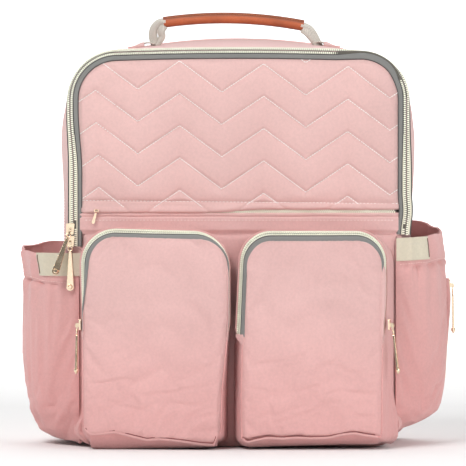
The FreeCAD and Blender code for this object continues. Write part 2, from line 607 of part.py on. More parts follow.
def build_straps():
    lock_x, lock_z = LOCK_CENTRE
    lock = ((lock_x, STRAP_Y0 + STRAP_THICK / 2, lock_z), (0, -STRAP_TILT, 0))
    run = math.hypot(ANCHOR[0] - lock_x, ANCHOR[1] - lock_z)
    heading = math.degrees(math.atan2(ANCHOR[0] - lock_x, lock_z - ANCHOR[1]))
    start, length = 19.0, run - 19.0 - 14.0
    mid = (start + length / 2) / run
    lower_x, lower_z = lock_x + (ANCHOR[0] - lock_x) * mid, lock_z + (ANCHOR[1] - lock_z) * mid
    parts = {
        "pad": strap_pad(),
        "loop": placed(webbing_loop(), *lock),
        "ladder_lock": placed(ladder_lock(), *lock),
        "webbing": strap_band(lower_x, lower_z, heading, length, STRAP_Y0 + 1.0, STRAP_Y0 + 1.0 + WEBBING_THICK),
        "anchor": strap_anchor(),
    }
    parts["loop"] = parts["loop"].cut(parts["pad"])
    for name, shape in parts.items():
        save(f"strap_right_{name}", shape)
        save(f"strap_left_{name}", shape.mirror(Vector(), Vector(1, 0, 0)))
    save("strap_yoke", block(-86, 86, BACK_Y + 0.2, BACK_Y + 2.8, 372, 399))


def strap_anchor():
    """The fabric triangle that ties the webbing's end into the side seam."""
    y = BACK_Y + 0.2
    points = [Vector(x, y, z) for x, z in ((174, 16), (174, 66), (141, 58), (129, 44))]
    return Part.Face(Part.makePolygon(points + points[:1])).extrude(Vector(0, 2.6, 0))


# ---- build --------------------------------------------------------------------------------------------------

os.makedirs("parts", exist_ok=True)
build_body()
build_inside()
build_lid()
build_main_zip()
build_sliders()
build_pockets()
build_side_pockets()
build_side_zip()
build_handle()
build_straps()
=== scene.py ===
"""Looks of the diaper bag: soft shells, quilting, zips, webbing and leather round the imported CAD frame.

Lengths in this file are millimetres unless a name says otherwise; meshes are scaled to metres as they are made.
"""

import math

import bpy
import numpy as np
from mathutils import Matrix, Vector


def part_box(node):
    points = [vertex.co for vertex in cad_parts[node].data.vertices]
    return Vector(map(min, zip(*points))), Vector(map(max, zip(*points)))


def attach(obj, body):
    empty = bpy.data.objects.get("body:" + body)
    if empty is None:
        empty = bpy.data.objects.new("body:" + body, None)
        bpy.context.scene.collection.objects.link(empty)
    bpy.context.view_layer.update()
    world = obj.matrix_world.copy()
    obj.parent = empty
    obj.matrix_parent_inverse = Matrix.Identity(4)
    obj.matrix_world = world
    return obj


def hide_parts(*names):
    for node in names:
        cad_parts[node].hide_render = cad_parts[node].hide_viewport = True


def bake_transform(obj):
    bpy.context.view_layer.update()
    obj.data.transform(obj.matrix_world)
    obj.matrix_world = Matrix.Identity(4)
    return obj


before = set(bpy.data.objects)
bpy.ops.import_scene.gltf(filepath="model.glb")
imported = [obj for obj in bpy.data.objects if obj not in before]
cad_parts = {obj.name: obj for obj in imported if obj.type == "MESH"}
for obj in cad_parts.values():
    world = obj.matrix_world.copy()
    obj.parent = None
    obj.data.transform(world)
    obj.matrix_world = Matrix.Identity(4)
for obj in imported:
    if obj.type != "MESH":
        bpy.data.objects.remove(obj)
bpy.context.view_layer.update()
TAU = 2 * math.pi

# The bag's outlines, seen from the front, at its front edge and at its back.
FRONT = {"half": 169.0, "top": 400.0, "crown": 3500.0, "corner": 58.0}
BACK = {"half": 177.0, "top": 409.5, "crown": 580.0, "corner": 85.0}
EDGE = {"half": 171.2, "top": 399.8, "crown": 3500.0, "corner": 56.0}  # where the side cloth meets the zip
LID = {"half": 168.2, "top": 396.8, "crown": 3500.0, "corner": 47.0}  # centre line of the main zip
LID_SHIFT = 0.7  # the soft lid sits a little to the right of centre
PANEL_INSET = 7.7
FOOT = 30.0  # radius of the body's lower corners
FRONT_Y, BACK_Y = -66.0, 68.0
FOLD_Z = 220.0
LID_FOLD = ("bag", "lid", (0, -67, FOLD_Z - 4), (0, -67, FOLD_Z + 4))  # bodies and span of cloth that bends
OUT_FRONT, OUT_BACK, UPWARD = (0.0, -1, 0), (0.0, 1, 0), (0.0, 0, 1)


# ---- numbers ------------------------------------------------------------------------------------------------


def smooth(x, low, high):
    """0 below low, 1 above high, smooth between; low may be the larger."""
    t = np.clip((np.asarray(x, float) - low) / (high - low), 0, 1)
    return t * t * (3 - 2 * t)


def lerp(a, b, t):
    return a + (b - a) * t


def at(x, y, z):
    """Points from coordinates that are arrays or single numbers."""
    return np.stack(np.broadcast_arrays(x, y, z), -1).astype(float)


def noise(points, size, seed=0, octaves=1):
    """Gradient noise, about -1 to 1, at an (..., 3) array of points. size is one number or three."""
    p = np.asarray(points, float).reshape(-1, 3) / np.asarray(size, float)
    total, reach = np.zeros(len(p)), 0.0
    for octave in range(octaves):
        share = 0.5**octave
        total += share * lattice_noise(p * 2**octave + 17.3 * octave, seed + 101 * octave)
        reach += share
    return (total / reach * 1.7).reshape(np.asarray(points).shape[:-1])


def lattice_noise(p, seed):
    cell = np.floor(p).astype(np.int64)
    part = p - cell
    fade = part**3 * (part * (part * 6 - 15) + 10)
    total = np.zeros(len(p))
    for corner in np.ndindex(2, 2, 2):
        c = cell + np.array(corner)
        h = (c[:, 0] * 73856093) ^ (c[:, 1] * 19349663) ^ (c[:, 2] * 83492791) ^ (seed * 2654435761)
        h = ((h & 0xFFFFFFFF) ^ ((h & 0xFFFFFFFF) >> 15)) * 2246822519 & 0xFFFFFFFF
        h = (h ^ (h >> 13)) * 3266489917 & 0xFFFFFFFF
        turn, height = (h & 0xFFFF) / 65536 * TAU, ((h >> 16) & 0xFFFF) / 32768 - 1
        flat = np.sqrt(1 - height**2)
        gradient = np.stack([flat * np.cos(turn), flat * np.sin(turn), height], 1)
        weight = np.prod(np.where(np.array(corner), fade, 1 - fade), 1)
        total += weight * ((part - np.array(corner)) * gradient).sum(1)
    return total


def folds(points, size, seed):
    """Soft creases: ridges where the noise crosses zero, 0 to 1."""
    return np.clip(1 - np.abs(noise(points, size, seed, 2)) * 2.6, 0, 1) ** 2


def table(pairs, value):
    """Straight lines through (value, result) pairs."""
    a = np.array(pairs, float)
    return np.interp(value, a[:, 0], a[:, 1])


def resample(path, count=None, pitch=None, closed=False):
    """Points spread evenly along a polyline."""
    path = np.asarray(path, float)
    if closed:
        path = np.vstack([path, path[:1]])
    run = np.concatenate([[0], np.cumsum(np.linalg.norm(np.diff(path, axis=0), axis=1))])
    if pitch:
        count = max(int(round(run[-1] / pitch)), 2) + (0 if closed else 1)
    places = np.linspace(0, run[-1], count, endpoint=not closed)
    return np.stack([np.interp(places, run, path[:, k]) for k in range(path.shape[1])], 1)


def unit(v):
    return v / np.maximum(np.linalg.norm(v, axis=-1, keepdims=True), 1e-9)


def tangents(path, closed=False):
    if closed:
        return unit(np.roll(path, -1, 0) - np.roll(path, 1, 0))
    return unit(np.gradient(path, axis=0))


def outward(loop):
    """Directions out of a flat anticlockwise loop, (n, 2)."""
    t = tangents(loop, True)
    return np.stack([t[:, 1], -t[:, 0]], 1)


def along(direction, path):
    """One direction for every point of a path."""
    return np.broadcast_to(np.asarray(direction, float), np.shape(path))


def beside(path, up):
    """Directions across a path that lies on a surface with the given normals."""
    return unit(np.cross(up, tangents(path)))


# ---- meshes -------------------------------------------------------------------------------------------------


def make(name, verts, faces, material, uvs=None, sharp=45):
    """A mesh object from millimetre vertices. uvs is one list of corner pairs per face."""
    mesh = bpy.data.meshes.new(name)
    mesh.from_pydata((np.asarray(verts, float) * 0.001).tolist(), [], [tuple(int(i) for i in f) for f in faces])
    if uvs is not None:
        layer = mesh.uv_layers.new(name="weave")
        layer.data.foreach_set("uv", np.asarray(uvs, np.float32).ravel())
    mesh.polygons.foreach_set("use_smooth", [True] * len(mesh.polygons))
    mesh.update()
    mesh.set_sharp_from_angle(angle=math.radians(sharp))
    obj = bpy.data.objects.new(name, mesh)
    bpy.context.scene.collection.objects.link(obj)
    mesh.materials.append(material)
    return obj


def normals(grid, wrap=False):
    """Unit normals of an (nu, nv, 3) grid, on the side that du x dv points to."""
    du = np.roll(grid, -1, 0) - np.roll(grid, 1, 0) if wrap else np.gradient(grid, axis=0)
    return unit(np.cross(du, np.gradient(grid, axis=1)))


def lengths(grid, wrap):
    """Distances along the two directions of a grid, in metres, for the weave."""
    ring = np.concatenate([grid, grid[:1]]) if wrap else grid
    du = np.linalg.norm(np.diff(ring, axis=0), axis=2).mean(1)
    dv = np.linalg.norm(np.diff(grid, axis=1), axis=2).mean(0)
    return [np.concatenate([[0], np.cumsum(d)]) * 0.001 for d in (du, dv)]


def quads(shape, nu, nv, u=None, v=None):
    """Corner indices of shape[0] x shape[1] quads on an nu x nv grid that may close on itself, and their weave."""
    i, j = (a.ravel() for a in np.meshgrid(*(np.arange(n) for n in shape), indexing="ij"))
    k, w = (i + 1) % nu, (j + 1) % nv
    quad = np.stack([i * nv + j, k * nv + j, k * nv + w, i * nv + w], 1)
    if u is None:
        return quad
    return quad, np.stack([u[i], v[j], u[i + 1], v[j], u[i + 1], v[j + 1], u[i], v[j + 1]], 1).reshape(-1, 4, 2)


def shell(name, grid, thick, material, wrap=False, flip=False, inner=None):
    """A cloth wall: the grid is its outer face, and thick is its depth behind it. inner gives the back face."""
    nu, nv = grid.shape[:2]
    way = -1.0 if flip else 1.0
    back = grid - way * normals(grid, wrap) * thick if inner is None else inner
    verts = np.concatenate([grid.reshape(-1, 3), back.reshape(-1, 3)])
    u, v = lengths(grid, wrap)
    cols, half = nu if wrap else nu - 1, nu * nv
    quad, uv = quads((cols, nv - 1), nu, nv, u, v)
    outer, outer_uv = (quad[:, ::-1], uv[:, ::-1]) if flip else (quad, uv)
    inside, inside_uv = (quad + half, uv) if flip else (quad[:, ::-1] + half, uv[:, ::-1])
    faces, coords = [outer, inside], [outer_uv, inside_uv]
    i, j, last = np.arange(cols), np.arange(nv - 1), (nu - 1) * nv
    a, b = i * nv, (i + 1) % nu * nv
    edges = [(a, b, u[i], u[i + 1], False), (a + nv - 1, b + nv - 1, u[i], u[i + 1], True)]
    if not wrap:
        edges += [(j, j + 1, v[j], v[j + 1], True), (last + j, last + j + 1, v[j], v[j + 1], False)]
    for a, b, s, t, reverse in edges:
        rim = np.stack([b, a, a + half, b + half], 1)
        coord = np.stack([t, 0 * t, s, 0 * s, s, 0 * s + 0.001, t, 0 * t + 0.001], 1).reshape(-1, 4, 2)
        if reverse != flip:
            rim, coord = rim[:, ::-1], coord[:, ::-1]
        faces.append(rim)
        coords.append(coord)
    return make(name, verts, np.concatenate(faces), material, np.concatenate(coords))


def drape(grid, pinned, pressure, slack, cap, sag=0.0):
    """Lets a sheet settle as real cloth, a little larger than its frame, and held where pinned is 1.

    No point moves further than cap.
    """
    frames = 20
    nu, nv = grid.shape[:2]
    sheet = make("drape_trial", grid.reshape(-1, 3), quads((nu - 1, nv - 1), nu, nv), MAT["pink"])
    held = sheet.vertex_groups.new(name="held")
    for index, weight in enumerate(np.clip(pinned, 0, 1).ravel()):
        if weight > 0.01:
            held.add([index], float(weight), "REPLACE")
    cloth_mod = sheet.modifiers.new("cloth", "CLOTH")
    settings = cloth_mod.settings
    settings.quality, settings.mass = 6, 0.12
    settings.tension_stiffness = settings.compression_stiffness = 12
    settings.shear_stiffness, settings.bending_stiffness = 6, 0.4
    settings.tension_damping = settings.compression_damping = 8
    settings.air_damping = 2.0
    settings.vertex_group_mass = "held"
    settings.shrink_min = -slack
    settings.use_pressure, settings.uniform_pressure_force = True, pressure
    settings.effector_weights.gravity = sag
    cloth_mod.collision_settings.use_collision = False
    cloth_mod.point_cache.frame_start, cloth_mod.point_cache.frame_end = 1, frames
    for step in range(1, frames + 1):
        bpy.context.scene.frame_set(step)
    settled = sheet.evaluated_get(bpy.context.evaluated_depsgraph_get())
    co = np.empty(nu * nv * 3)
    settled.data.vertices.foreach_get("co", co)
    bpy.context.scene.frame_set(1)
    mesh = sheet.data
    bpy.data.objects.remove(sheet)
    bpy.data.meshes.remove(mesh)
    move = co.reshape(nu, nv, 3) * 1000 - grid
    size = np.linalg.norm(move, axis=2, keepdims=True)
    return grid + move * np.tanh(size / cap) * cap / np.maximum(size, 1e-6)


def sweep(name, path, side, up, profile, material, closed=False):
    """A solid band: a closed profile of (along side, along up) points carried along a path."""
    path, profile = np.asarray(path, float), np.asarray(profile, float)
    side, up = along(side, path), along(up, path)
    n, m = len(path), len(profile)
    grid = path[:, None] + side[:, None] * profile[None, :, :1] + up[:, None] * profile[None, :, 1:]
    around = np.cumsum(np.linalg.norm(np.roll(profile, -1, 0) - profile, axis=1))
    around = np.concatenate([[0], around]) * 0.001
    quad, uv = quads((n if closed else n - 1, m), n, m, lengths(grid, closed)[0], around)
    faces, coords = list(quad), list(uv.reshape(-1, 2))
    if not closed:
        faces += [np.arange(m), np.arange(m)[::-1] + (n - 1) * m]
        coords += [*(profile * 0.001)] * 2
    return fix_normals(make(name, grid.reshape(-1, 3), faces, material, np.array(coords)))


def cap_loops(name, levels, material):
    """A closed solid from a stack of closed loops with flat ends."""
    grid = np.stack(levels, 1)
    n, count = grid.shape[:2]
    faces = [*quads((n, count - 1), n, count), np.arange(n)[::-1] * count, np.arange(n) * count + count - 1]
    verts = grid.reshape(-1, 3)
    uvs = [verts[i][:2] * 0.001 + verts[i][2] * 0.001 for face in faces for i in face]
    return fix_normals(make(name, verts, faces, material, np.array(uvs)))


def fix_normals(obj):
    """Turns a closed mesh the right way out."""
    mesh = obj.data
    mesh.calc_loop_triangles()
    corners = np.empty(len(mesh.loop_triangles) * 3, int)
    mesh.loop_triangles.foreach_get("vertices", corners)
    co = np.empty(len(mesh.vertices) * 3)
    mesh.vertices.foreach_get("co", co)
    a, b, c = (co.reshape(-1, 3)[corners.reshape(-1, 3)[:, k]] for k in range(3))
    if np.einsum("ij,ij->i", a, np.cross(b, c)).sum() < 0:
        mesh.flip_normals()
    return obj


def rounded(width, height, radius=None, steps=4):
    """A rounded rectangle profile centred on the origin."""
    r = min(width, height) / 2 * 0.98 if radius is None else radius
    points = []
    for cx, cy, start in ((1, 1, 0), (-1, 1, 90), (-1, -1, 180), (1, -1, 270)):
        for step in range(steps + 1):
            a = math.radians(start + 90 * step / steps)
            points.append((cx * (width / 2 - r) + r * math.cos(a), cy * (height / 2 - r) + r * math.sin(a)))
    return np.array(points)


def ribbon(name, path, side, width, thick, material):
    """Flat webbing along a path; side is the direction of its width at each point."""
    t = tangents(path)
    up = unit(np.cross(t, along(side, path)))
    return sweep(name, path, unit(np.cross(up, t)), up, rounded(width, thick, thick * 0.45, 3), material)


def bead(length, width, height, rings=4):
    """A small closed capsule along x: vertices and faces, for stitches and zip teeth."""
    sides = 6
    verts, faces = [(-length / 2, 0, 0)], []
    for ring in range(rings):
        a = math.pi * (ring + 1) / (rings + 1)
        c, r = math.cos(a), math.sin(a) ** 0.5
        x = -length / 2 * c * abs(c) ** -0.45 if abs(c) > 1e-6 else 0.0
        for b in (TAU * (side + 0.5) / sides for side in range(sides)):
            verts.append((x, width / 2 * r * math.cos(b), height / 2 * r * math.sin(b)))
    verts.append((length / 2, 0, 0))
    last = 1 + (rings - 1) * sides
    for side in range(sides):
        n = (side + 1) % sides
        faces.append((0, 1 + n, 1 + side))
        for a in range(1, last, sides):
            faces.append((a + side, a + n, a + sides + n, a + sides + side))
        faces.append((last + side, last + n, len(verts) - 1))
    return np.array(verts, float), faces


def scatter(name, template, origins, direction, up, material):
    """Many copies of a small solid as one mesh: each has its x along the given direction."""
    verts, faces = template
    ahead = unit(direction)
    side = unit(np.cross(up, ahead))
    axes = np.stack([ahead, side, np.cross(ahead, side)], 1)
    spread = sum(verts[None, :, k : k + 1] * axes[:, None, k] for k in range(3))
    placed = (spread + np.asarray(origins)[:, None]).reshape(-1, 3)
    count = len(verts)
    all_faces = [tuple(i + count * c for i in face) for c in range(len(origins)) for face in faces]
    return fix_normals(make(name, placed, all_faces, material, sharp=80))


def stitches(name, path, up, material, body, pitch=3.0, length=2.1, radius=0.36, lift=0.1, closed=False):
    """A row of thread stitches along a polyline that lies on a surface; up is its normal, one or many."""
    both = resample(np.hstack([path, along(up, path) * 1e-6]), pitch=pitch, closed=closed)
    points, normal = both[:, :3], unit(both[:, 3:] * 1e6)
    thread = bead(length, radius * 2, radius * 1.7)
    row = scatter(name, thread, points + normal * lift, tangents(points, closed), normal, material)
    return done(row, body, "webbing")


def done(obj, body, slot, *nodes):
    """Rides a piece on its body and hides the CAD nodes that it stands for. Its slot is not used.

    Cloth that bends has two bodies and the span of its bend, in millimetres, in place of the body; such a piece is
    only baked in place and rides on no body.
    """
    if isinstance(body, tuple):
        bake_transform(obj)
    else:
        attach(obj, body)
    if nodes:
        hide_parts(*nodes)
    return obj


# ---- materials ----------------------------------------------------------------------------------------------


def shader(name, color, roughness, **settings):
    material = bpy.data.materials.new(name)
    material.use_nodes = True
    tree = material.node_tree
    bsdf = tree.nodes["Principled BSDF"]
    bsdf.inputs["Base Color"].default_value = (*color, 1)
    bsdf.inputs["Roughness"].default_value = roughness
    for key, value in settings.items():
        bsdf.inputs[key.replace("_", " ")].default_value = value
    return material, tree, bsdf


def node(tree, kind, inputs=(), **settings):
    made = tree.nodes.new("ShaderNode" + kind)
    for key, value in settings.items():
        setattr(made, key, value)
    for key, value in dict(inputs).items():
        if isinstance(value, bpy.types.NodeSocket):
            tree.links.new(value, made.inputs[key])
        else:
            made.inputs[key].default_value = value
    return made


def calc(tree, operation, a, b=0.0):
    return node(tree, "Math", {0: a, 1: b}, operation=operation).outputs[0]


def ranged(tree, value, low, high, start=0.0, end=1.0, **settings):
    """Maps low to high onto start to end."""
    return node(tree, "MapRange", {0: value, 1: low, 2: high, 3: start, 4: end}, **settings).outputs[0]


def dyed(tree, color, value):
    """A colour made lighter or darker."""
    return node(tree, "HueSaturation", {"Color": color, "Value": value}).outputs[0]


def place(tree):
    return node(tree, "TexCoord").outputs["Object"]


def speckle(tree, scale, detail, **inputs):
    settings = {"Vector": place(tree), "Scale": float(scale), "Detail": detail, **inputs}
    return node(tree, "TexNoise", settings).outputs[0]


def weave_parts(tree):
    return node(tree, "SeparateXYZ", {0: node(tree, "UVMap", uv_map="weave").outputs[0]}).outputs


def threads(tree, pitch, kind="plain"):
    """Height of a weave from the cloth's own coordinates: plain, twill or herringbone."""
    parts = weave_parts(tree)
    u, v = (calc(tree, "MULTIPLY", parts[k], TAU / pitch) for k in (0, 1))
    if kind == "plain":
        return calc(tree, "MULTIPLY", calc(tree, "SINE", u), calc(tree, "SINE", v))
    if kind == "twill":
        return calc(tree, "SINE", calc(tree, "ADD", u, v))
    zigzag = calc(tree, "PINGPONG", v, 9.0)
    return calc(tree, "SINE", calc(tree, "ADD", calc(tree, "MULTIPLY", zigzag, 1.2), u))


def mottled(tree, color, spread, scale):
    """The base colour with soft lighter and darker patches."""
    ramp = node(tree, "ValToRGB", {0: speckle(tree, scale, 3.0, Roughness=0.55)})
    for stop, position, level in zip(ramp.color_ramp.elements, (0.3, 0.7), (1 - spread, 1 + spread)):
        stop.position, stop.color = position, (*(min(c * level, 1.0) for c in color), 1)
    return ramp.outputs[0]


def bumped(tree, bsdf, height, distance, strength=1.0):
    bump = node(tree, "Bump", {"Height": height, "Distance": distance, "Strength": strength})
    tree.links.new(bump.outputs[0], bsdf.inputs["Normal"])


def painted_shading_by_height(tree, color):
    """Painted light and shade by height: the pink turns deeper from 170 mm down to the foot, where less light falls,
    and the lowest 13 mm darken further with painted shade.
    """
    height = node(tree, "SeparateXYZ", {0: place(tree)}).outputs[2]
    amount = ranged(tree, height, 0.02, 0.17, 0.36, 0.0, interpolation_type="SMOOTHSTEP")
    deep = node(tree, "Mix", {0: amount, 6: color, 7: (0.80, 0.34, 0.33, 1)}, data_type="RGBA").outputs[2]
    return dyed(tree, deep, ranged(tree, height, 0.001, 0.013, 0.66, 1.0))


def cloth(
    name, color, roughness=0.78, weave="plain", pitch=0.0008, depth=0.00007, spread=0.05, sheen=0.25, slub=True
):
    """Woven cloth: threads, fine slubs, slight colour clouds and a soft sheen."""
    gloss = {"Sheen_Weight": sheen, "Sheen_Roughness": 0.45, "Specular_IOR_Level": 0.3}
    material, tree, bsdf = shader(name, color, roughness, **gloss)
    base = mottled(tree, color, spread, 9.0)
    # pink cloths get painted light and shade by height
    if name.startswith("pink"):
        base = painted_shading_by_height(tree, base)
    height = threads(tree, pitch, weave)
    if slub:
        height = calc(tree, "ADD", height, calc(tree, "MULTIPLY", speckle(tree, 900, 2.0), 1.1))
        base = dyed(tree, base, ranged(tree, speckle(tree, 420, 2.0), 0.3, 0.7, 0.965, 1.035))
    if weave == "herringbone":
        base = dyed(tree, base, ranged(tree, threads(tree, pitch, weave), -1.0, 0.6, 0.62, 1.04))
    tree.links.new(base, bsdf.inputs["Base Color"])
    bumped(tree, bsdf, height, depth)
    return material


def moulded(name, color, roughness, grain):
    """Plain stuff with a fine grain and slightly uneven colour: moulded plastic, or twisted thread."""
    material, tree, bsdf = shader(name, color, roughness)
    tree.links.new(mottled(tree, color, 0.05, 70.0), bsdf.inputs["Base Color"])
    bumped(tree, bsdf, speckle(tree, grain, 3.0), 0.00006, 0.6)
    return material


def coil_material():
    """Cream zip teeth: glossy moulded plastic, a little yellower in patches."""
    color = (0.97, 0.95, 0.79)
    material, tree, bsdf = shader("cream zip teeth", color, 0.32)
    tree.links.new(mottled(tree, color, 0.06, 60.0), bsdf.inputs["Base Color"])
    return material


def gold_material():
    """Polished pale gold with faint wear in its roughness."""
    color = (0.93, 0.75, 0.55)
    material, tree, bsdf = shader("pale gold", color, 0.16, Metallic=1.0)
    wear = speckle(tree, 260, 4.0)
    tree.links.new(ranged(tree, wear, 0.35, 0.75, 0.10, 0.24), bsdf.inputs["Roughness"])
    tint = ranged(tree, wear, 0.3, 0.8, 0.94, 1.04)
    tree.links.new(dyed(tree, (*color, 1), tint), bsdf.inputs["Base Color"])
    return material


def leather_material():
    """Tan leather: fine pebbled grain, darker in its creases, with a waxed sheen."""
    color = (0.47, 0.105, 0.031)
    material, tree, bsdf = shader("tan leather", color, 0.42, Coat_Weight=0.15)
    grain = node(tree, "TexVoronoi", {"Vector": place(tree), "Scale": 900.0}, feature="DISTANCE_TO_EDGE")
    pores = ranged(tree, grain.outputs["Distance"], 0.0, 0.12)
    base = dyed(tree, mottled(tree, color, 0.16, 40.0), ranged(tree, pores, 0.0, 1.0, 0.8, 1.05))
    # painted light and shade round the grip: darker in the groove under the fin's front, a painted highlight on its
    # upper front, painted shade along its underside, and the fin itself darker
    ramp = node(tree, "ValToRGB", {0: ranged(tree, weave_parts(tree)[1], 0.0, 0.0305)})
    stops, brightest = ramp.color_ramp.elements, 1.2
    stops[0].position, stops[1].position = 0.0, 1.0
    stops[0].color = stops[1].color = (0.45, 0.45, 0.45, 1)
    levels = (0.06, 0.85), (0.12, 1.12), (0.20, 1.0), (0.30, 0.85), (0.37, 0.42), (0.47, 0.42), (0.56, 1.0)
    for position, level in (*levels, (0.79, 0.9), (0.85, 0.55)):
        stops.new(position).color = (*[level / brightest] * 3, 1)
    painted_light_and_shade = dyed(tree, base, calc(tree, "MULTIPLY", ramp.outputs[0], brightest))
    tree.links.new(painted_light_and_shade, bsdf.inputs["Base Color"])
    bumped(tree, bsdf, pores, 0.00012, 0.7)
    return material


MAT = {
    "pink": cloth("pink polyester", (0.74, 0.470, 0.450)),
    "pink_deep": cloth("pink side cloth", (0.73, 0.405, 0.388)),
    "quilt": cloth("pink quilted cloth", (0.76, 0.495, 0.470), pitch=0.0010, depth=0.0001),
    "lining": cloth("pale lining", (0.50, 0.44, 0.39), 0.6, "twill", 0.0011, sheen=0.1),
    "mesh": cloth("elastic mesh", (0.48, 0.33, 0.31), 0.8, "plain", 0.0022, 0.0003),
    "tape": cloth("grey zip tape", (0.235, 0.235, 0.225), 0.8, "twill", 0.0012, 0.0001, 0.08, slub=False),
    "pale_tape": cloth("pale zip tape", (0.80, 0.77, 0.62), 0.75, "twill", 0.0012, 0.0001, slub=False),
    # core: the near-black backing under the zip teeth, painted shade in the gaps between them
    "core": cloth("zip backing in painted shade", (0.13, 0.12, 0.10), 0.75, "twill", 0.0012, 0.0001, slub=False),
    "tab": cloth("beige webbing tab", (0.67, 0.61, 0.48), 0.85, "plain", 0.0013, 0.00012, 0.06),
    "webbing": cloth("herringbone webbing", (0.82, 0.775, 0.69), 0.85, "herringbone", 0.0022, 0.00025, 0.10),
    # dark: strips of painted shade along the zips' tape edges and between their rows of teeth
    "dark": moulded("painted shade strip", (0.075, 0.072, 0.068), 0.8, 900),
    "seam": moulded("seam crease painted shade", (0.30, 0.10, 0.095), 0.8, 2500),
    "thread": moulded("thread", (0.98, 0.89, 0.86), 0.55, 2500),
    "pink_thread": moulded("pink thread", (0.88, 0.62, 0.58), 0.6, 2500),
    "brown_thread": moulded("brown thread", (0.17, 0.10, 0.075), 0.7, 2500),
    "leather_thread": moulded("leather thread", (0.62, 0.24, 0.10), 0.6, 2500),
    "buckle": moulded("moulded buckle", (0.60, 0.56, 0.47), 0.38, 1400),
    "coil": coil_material(),
    "gold": gold_material(),
    "leather": leather_material(),
}


# ---- outlines -----------------------------------------------------------------------------------------------


def arch_numbers(outline, inset=0.0):
    half, top, crown, corner = (outline[k] - inset for k in ("half", "top", "crown", "corner"))
    cx, middle = half - corner, top - crown
    cz = middle + math.sqrt((crown - corner) ** 2 - cx**2)
    return half, crown, corner, cx, cz, middle, math.atan2(cz - middle, cx)


def arc(cx, cz, radius, start, end, count):
    """A turn without its last point."""
    a = np.linspace(start, end, count, endpoint=False)
    return np.stack([cx + radius * np.cos(a), cz + radius * np.sin(a)], 1)


def between(a, b, count):
    """A straight run without its last point."""
    return np.linspace(a, b, count, endpoint=False)


def arch_path(outline, inset, low_left, low_right):
    """From the left side at low_left, up and over the top, down the right side to low_right, as (n, 2)."""
    half, crown, corner, cx, cz, middle, lean = arch_numbers(outline, inset)
    over = math.pi - lean
    parts = [between((-half, low_left), (-half, cz), 40), arc(-cx, cz, corner, math.pi, over, 30)]
    parts += [arc(0, middle, crown, over, lean, 60), arc(cx, cz, corner, lean, 0, 30)]
    return np.vstack([*parts, np.linspace((half, cz), (half, low_right), 41)])


def ring(outline):
    """The whole closed outline, with the same point count for any outline, anticlockwise from the base."""
    half, crown, corner, cx, cz, middle, lean = arch_numbers(outline)
    over, turned = math.pi - lean, half - FOOT
    right = [between((-turned, 0), (turned, 0), 60), arc(turned, FOOT, FOOT, -math.pi / 2, 0, 12)]
    right += [between((half, FOOT), (half, cz), 80), arc(cx, cz, corner, 0, lean, 26)]
    left = [arc(-cx, cz, corner, over, math.pi, 26), between((-half, cz), (-half, FOOT), 80)]
    left.append(arc(-turned, FOOT, FOOT, math.pi, math.pi * 1.5, 12))
    return np.vstack([*right, arc(0, middle, crown, lean, over, 60), *left])


def arch_top(x, outline, inset):
    """Height of the outline's top edge at x."""
    _, crown, corner, cx, cz, middle, lean = arch_numbers(outline, inset)
    x = np.abs(np.asarray(x, float))
    over = middle + np.sqrt(np.maximum(crown**2 - x**2, 0))
    turned = cz + np.sqrt(np.maximum(corner**2 - np.maximum(x - cx, 0) ** 2, 0))
    return np.where(x <= crown * math.cos(lean), over, turned)


def arch_depth(x, z, outline, inset):
    """Distance in from the outline, at its sides and top."""
    half, crown, corner, cx, cz, middle, _ = arch_numbers(outline, inset)
    ax = np.abs(x)
    plain = np.minimum(half - ax, crown - np.hypot(x, z - middle))
    return np.where((ax > cx) & (z > cz), corner - np.hypot(ax - cx, z - cz), plain)


def arch_columns(outline, inset, middle_count, corner_count=18):
    """x of columns that are dense where the outline's corners turn down."""
    _, _, corner, cx, *_ = arch_numbers(outline, inset)
    left = -cx + corner * np.cos(np.linspace(math.pi, math.pi / 2, corner_count))
    return np.concatenate([left, np.linspace(-cx, cx, middle_count)[1:-1], -left[::-1]])


def columns(xs, low, high, count):
    """x and z of a sheet's points: upright columns at xs, from low to high."""
    z = lerp(np.reshape(low, (-1, 1)), np.reshape(high, (-1, 1)), np.linspace(0, 1, count)[None])
    return np.broadcast_to(xs[:, None], z.shape), z


def foot_height(x, straight):
    """Height of the bottom edge at x: it turns up where x is past the straight part."""
    return FOOT - np.sqrt(np.maximum(FOOT**2 - np.maximum(np.abs(x) - straight, 0) ** 2, 0))


def rolled(x, z):
    """1 at the lid's soft top right corner, which rolls over and hides the main zip's chain."""
    return smooth(x, 92, 130) * smooth(z, 364, 386)


def settle(x, z):
    """x of a point of the lid's outline on the finished bag, where the left side leans in towards its foot."""
    return x + LID_SHIFT + 3.6 * smooth(z, 338, 275) * smooth(x, -90, -158) + 0.8 * rolled(x, z)


def on_lid(x, y, z):
    """Points of the lid on the finished bag."""
    return at(settle(x, z), y, z + 1.5 * rolled(x, z))


def depth_share(y):
    """Where a depth lies between the bag's front and back outlines, 0 to 1."""
    return np.clip((np.asarray(y, float) + 63) / 125, 0, 1)


# ---- body ---------------------------------------------------------------------------------------------------


def body_walls(depth):
    """The side cloth before its folds: front and back outlines, directions out, and points, (n, depths, 3).

    Behind the side pockets it tucks in.
    """
    front, back = ring(EDGE), ring(BACK)
    front[:, 0] = settle(front[:, 0], front[:, 1])
    front -= rolled(front[:, 0], front[:, 1])[:, None] * [2.2, 2.6]
    tuck = np.where(front[:, 0] > 0, smooth(front[:, 1], 218, 207), smooth(front[:, 1], 204, 191))
    front[:, 0] *= 1 - 0.075 * tuck * smooth(front[:, 1], 10, 40)
    flat = lerp(front[:, None], back[:, None], depth_share(depth)[None, :, None])
    return front, back, np.insert(outward(front), 1, 0, 1), at(flat[..., 0], depth, flat[..., 1])


def corner_sag(x, z):
    """How far the cloth hangs in at the foot's right corner."""
    return -7.0 * smooth(x, 120, 150) * smooth(z, 30, 8) * smooth(z, -1, 4)


